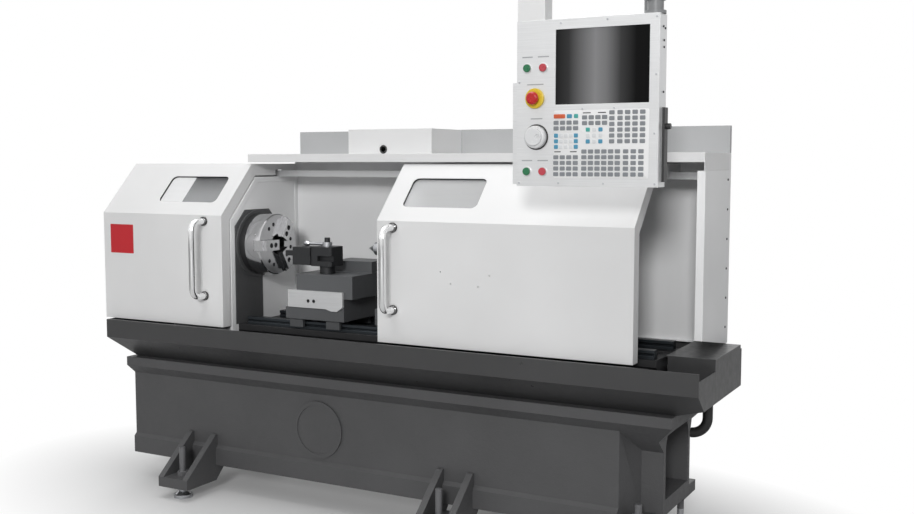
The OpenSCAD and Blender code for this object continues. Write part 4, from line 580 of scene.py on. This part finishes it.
# %% Trim
def ring_path(centre, radius, across, up, sides=48):
    """A circle of points about centre in the plane of across and up."""
    flat = round_outline(radius, sides)
    return np.asarray(centre, float) + flat[:, :1] * across + flat[:, 1:] * up


def box_profile(wide, high, round_by=0.8):
    """A small rounded box section, its foot at 0."""
    return rounded_outline(wide, high, round_by, arc=3) + (0.0, high / 2.0)


socket_head = [(0.0, -0.5), (1.0, -0.5), (1.0, 1.6), (0.86, 2.4), (0.55, 2.5), (0.48, 1.0), (0.0, 1.0)]
deep_head = [(0.0, -2.0), (1.0, -2.0), (1.0, 6.5), (0.9, 7.5), (0.6, 7.5), (0.55, 3.0), (0.0, 3.0)]
bar = [(0.0, -0.2), (1.0, -0.2), (1.0, 0.25), (0.0, 0.25)]

bead("stop_ring", ring_path((2040, FACE, 1549), 22.0, X, Z), -Y, box_profile(19.0, 9.0, 2.5), stop_yellow,
     "pendant")
bead("jog_ring", ring_path((2045, FACE, 1429), 38.0, X, Z), -Y, box_profile(4.0, 2.6), black_rubber,
     "pendant")
panel_screws = [(2125, 1776), (2276, 1779), (1986, 1600), (2198, 1514), (2300, 1514), (2120, 1286), (2268, 1286),
                (2430, 1610), (2427, 1436), (2430, 1778), (1986, 1286), (2430, 1286)]
studs("panel_screws", [(x, FACE, z) for x, z in panel_screws], round_outline(3.2, 14), socket_head, X, Z,
      ground_steel, "pendant")
case_screws = [(-130, 1752), (-112, 1748), (-122, 1712), (-122, 1692), (-122, 1560)]
studs("case_screws", [(CASE_SIDE, y, z) for y, z in case_screws], round_outline(3.4, 14), socket_head, Y, Z,
      tool_black, "pendant")
print("panel rings and screws made")

# %% Plain labels and the grommet
legends = [(2013, 1677, 36), (2067, 1677, 38), (2040, 1592, 56), (2045, 1486, 40), (2013, 1356, 36), (2067, 1356, 36)]
headings = [(2117, 1383, 22), (2170, 1383, 22), (2213, 1501, 26), (2262, 1501, 26)]


def bars(name, places, front, high, corner, finish):
    """Flat bars of their own width w at each (x, z, w), on the pendant's face or the key plate."""
    outlines = np.stack([rounded_outline(w, high, corner, arc=3) for _, _, w in places])
    return studs(name, [(x, front, z) for x, z, _ in places], outlines, bar, X, Z, finish, "pendant")


bars("legend_bars", legends, FACE, 3.4, 1.2, legend_grey)
bars("heading_bars", headings, FACE - 1.0, 3.0, 1.0, black_plastic)
studs("door_patch", [(72.0, DOOR_FACE, 1033.0)], rounded_outline(128.0, 120.0, 3.0), bar, X, Z, patch_red,
      "left_door_group")
bead("roof_grommet", ring_path((1196, 290, 1400), 13.0, X, Z), -Y, round_outline(3.6, 12) + (0.0, 0.4),
     black_rubber, "frame")
print("labels and grommet made")

# %% Screws of the jaws, the side panel and the wiper plate
for number, angle in ((1, 180.0), (2, 300.0), (3, 60.0)):
    out = np.array([0.0, math.cos(math.radians(angle)), math.sin(math.radians(angle))])
    middle = np.array([739.0 - 14.0, AXIS_Y, AXIS_Z]) + np.array([48.0, 76.0])[:, None] * out
    studs(f"jaw_{number}_screws", middle, round_outline(9.2, 18), deep_head, Y, Z, tool_black,
          f"jaw_{number}_body")
studs("side_screws", [(2476.0, 512.0, z) for z in np.linspace(770.0, 1290.0, 6)], round_outline(4.0, 14),
      socket_head, Y, Z, tool_black, "frame")
studs("wiper_screws", [(x, 104.0, 817.4) for x in (971.0, 997.0)], round_outline(6.4, 18), deep_head, X, Z,
      tool_black, "carriage")
print("trim made")

# %% [markdown]
# ## The studio
# The picture has a white ground that fades out behind the machine. A pale floor takes the soft shadow. Far
# from the machine it turns into plain white for the camera, so no horizon shows, and metal and glass see the
# same white.

# %% Floor, sky and lamps
def ground():
    """A flat square of 40 m, pale near the machine; the camera sees it fade to white with distance."""
    size = 20.0
    mesh = bpy.data.meshes.new("floor")
    corners = np.array([(-1, -1, 0), (1, -1, 0), (1, 1, 0), (-1, 1, 0)], float) * size
    mesh.from_pydata(corners.tolist(), [], [(0, 1, 2, 3)])
    floor = bpy.data.objects.new("floor", mesh)
    scene.collection.objects.link(floor)
    mat, tree, shader = start("floor_pale")
    here = place(tree)
    wide = place(tree, (0.55, 0.95, 1.0))
    far = node(tree, "VectorMath", [(0, wide)], operation="LENGTH").outputs["Value"]
    tree.links.new(blend(tree, noise(tree, here, 3.0), (0.70, 0.70, 0.70), (0.72, 0.72, 0.72)),
                   shader.inputs["Base Color"])
    shader.inputs["Roughness"].default_value = 0.9
    path = node(tree, "LightPath")
    seen = node(tree, "Math", [(0, path.outputs["Is Camera Ray"]), (1, path.outputs["Is Transmission Ray"])],
                operation="MAXIMUM")
    fade = node(tree, "Math", [(0, seen.outputs[0]), (1, band(tree, far, 0.60, 1.12, 0.10, 1.0))],
                operation="MULTIPLY")
    glow = node(tree, "Emission", Color=(1, 1, 1, 1), Strength=1.0)
    both = node(tree, "MixShader", [("Fac", fade.outputs[0]), (1, shader.outputs[0]), (2, glow.outputs[0])])
    tree.links.new(both.outputs[0], tree.nodes["Material Output"].inputs["Surface"])
    mesh.materials.append(mat)
    return floor


def sky(strength):
    """Light from all round for the surfaces; plain white for camera, mirror and glass rays."""
    world = bpy.data.worlds.new("studio")
    scene.world = world
    world.use_nodes = True
    tree = world.node_tree
    soft = tree.nodes["Background"]
    soft.inputs["Color"].default_value = (0.97, 0.985, 1.0, 1.0)
    soft.inputs["Strength"].default_value = strength
    path = node(tree, "LightPath")
    plain = node(tree, "Background", Color=(1, 1, 1, 1), Strength=1.0)
    some = node(tree, "Math", [(0, path.outputs["Is Camera Ray"]), (1, path.outputs["Is Glossy Ray"])],
                operation="MAXIMUM")
    seen = node(tree, "Math", [(0, some.outputs[0]), (1, path.outputs["Is Transmission Ray"])],
                operation="MAXIMUM")
    both = node(tree, "MixShader", [("Fac", seen.outputs[0]), (1, soft.outputs[0]), (2, plain.outputs[0])])
    tree.links.new(both.outputs[0], tree.nodes["World Output"].inputs["Surface"])


def lamp(name, where, towards, watts, size):
    """A square soft lamp at a drawing point, turned towards another."""
    light = bpy.data.lights.new(name, "AREA")
    light.energy, light.size = watts, size
    made = bpy.data.objects.new(name, light)
    made.location = row(where)
    made.rotation_euler = Vector(row(towards) - row(where)).to_track_quat("-Z", "Y").to_euler()
    scene.collection.objects.link(made)
    return made


ground()
sky(0.15)
lamp("front", (6300.0, -13900.0, 6000.0), (1500.0, 300.0, 1000.0), 1110.0, 2.8)
lamp("key", (1200.0, -4050.0, 5400.0), (1700.0, 60.0, 1150.0), 20.0, 1.8)
lamp("top", (900.0, -250.0, 4900.0), (1200.0, 200.0, 900.0), 100.0, 3.0)
lamp("side", (8500.0, -2500.0, 2600.0), (2400.0, 300.0, 1000.0), 40.0, 3.0)
lamp("rear", (-2600.0, 9200.0, 4600.0), (1200.0, 500.0, 1000.0), 210.0, 4.0)
print("stage ready")
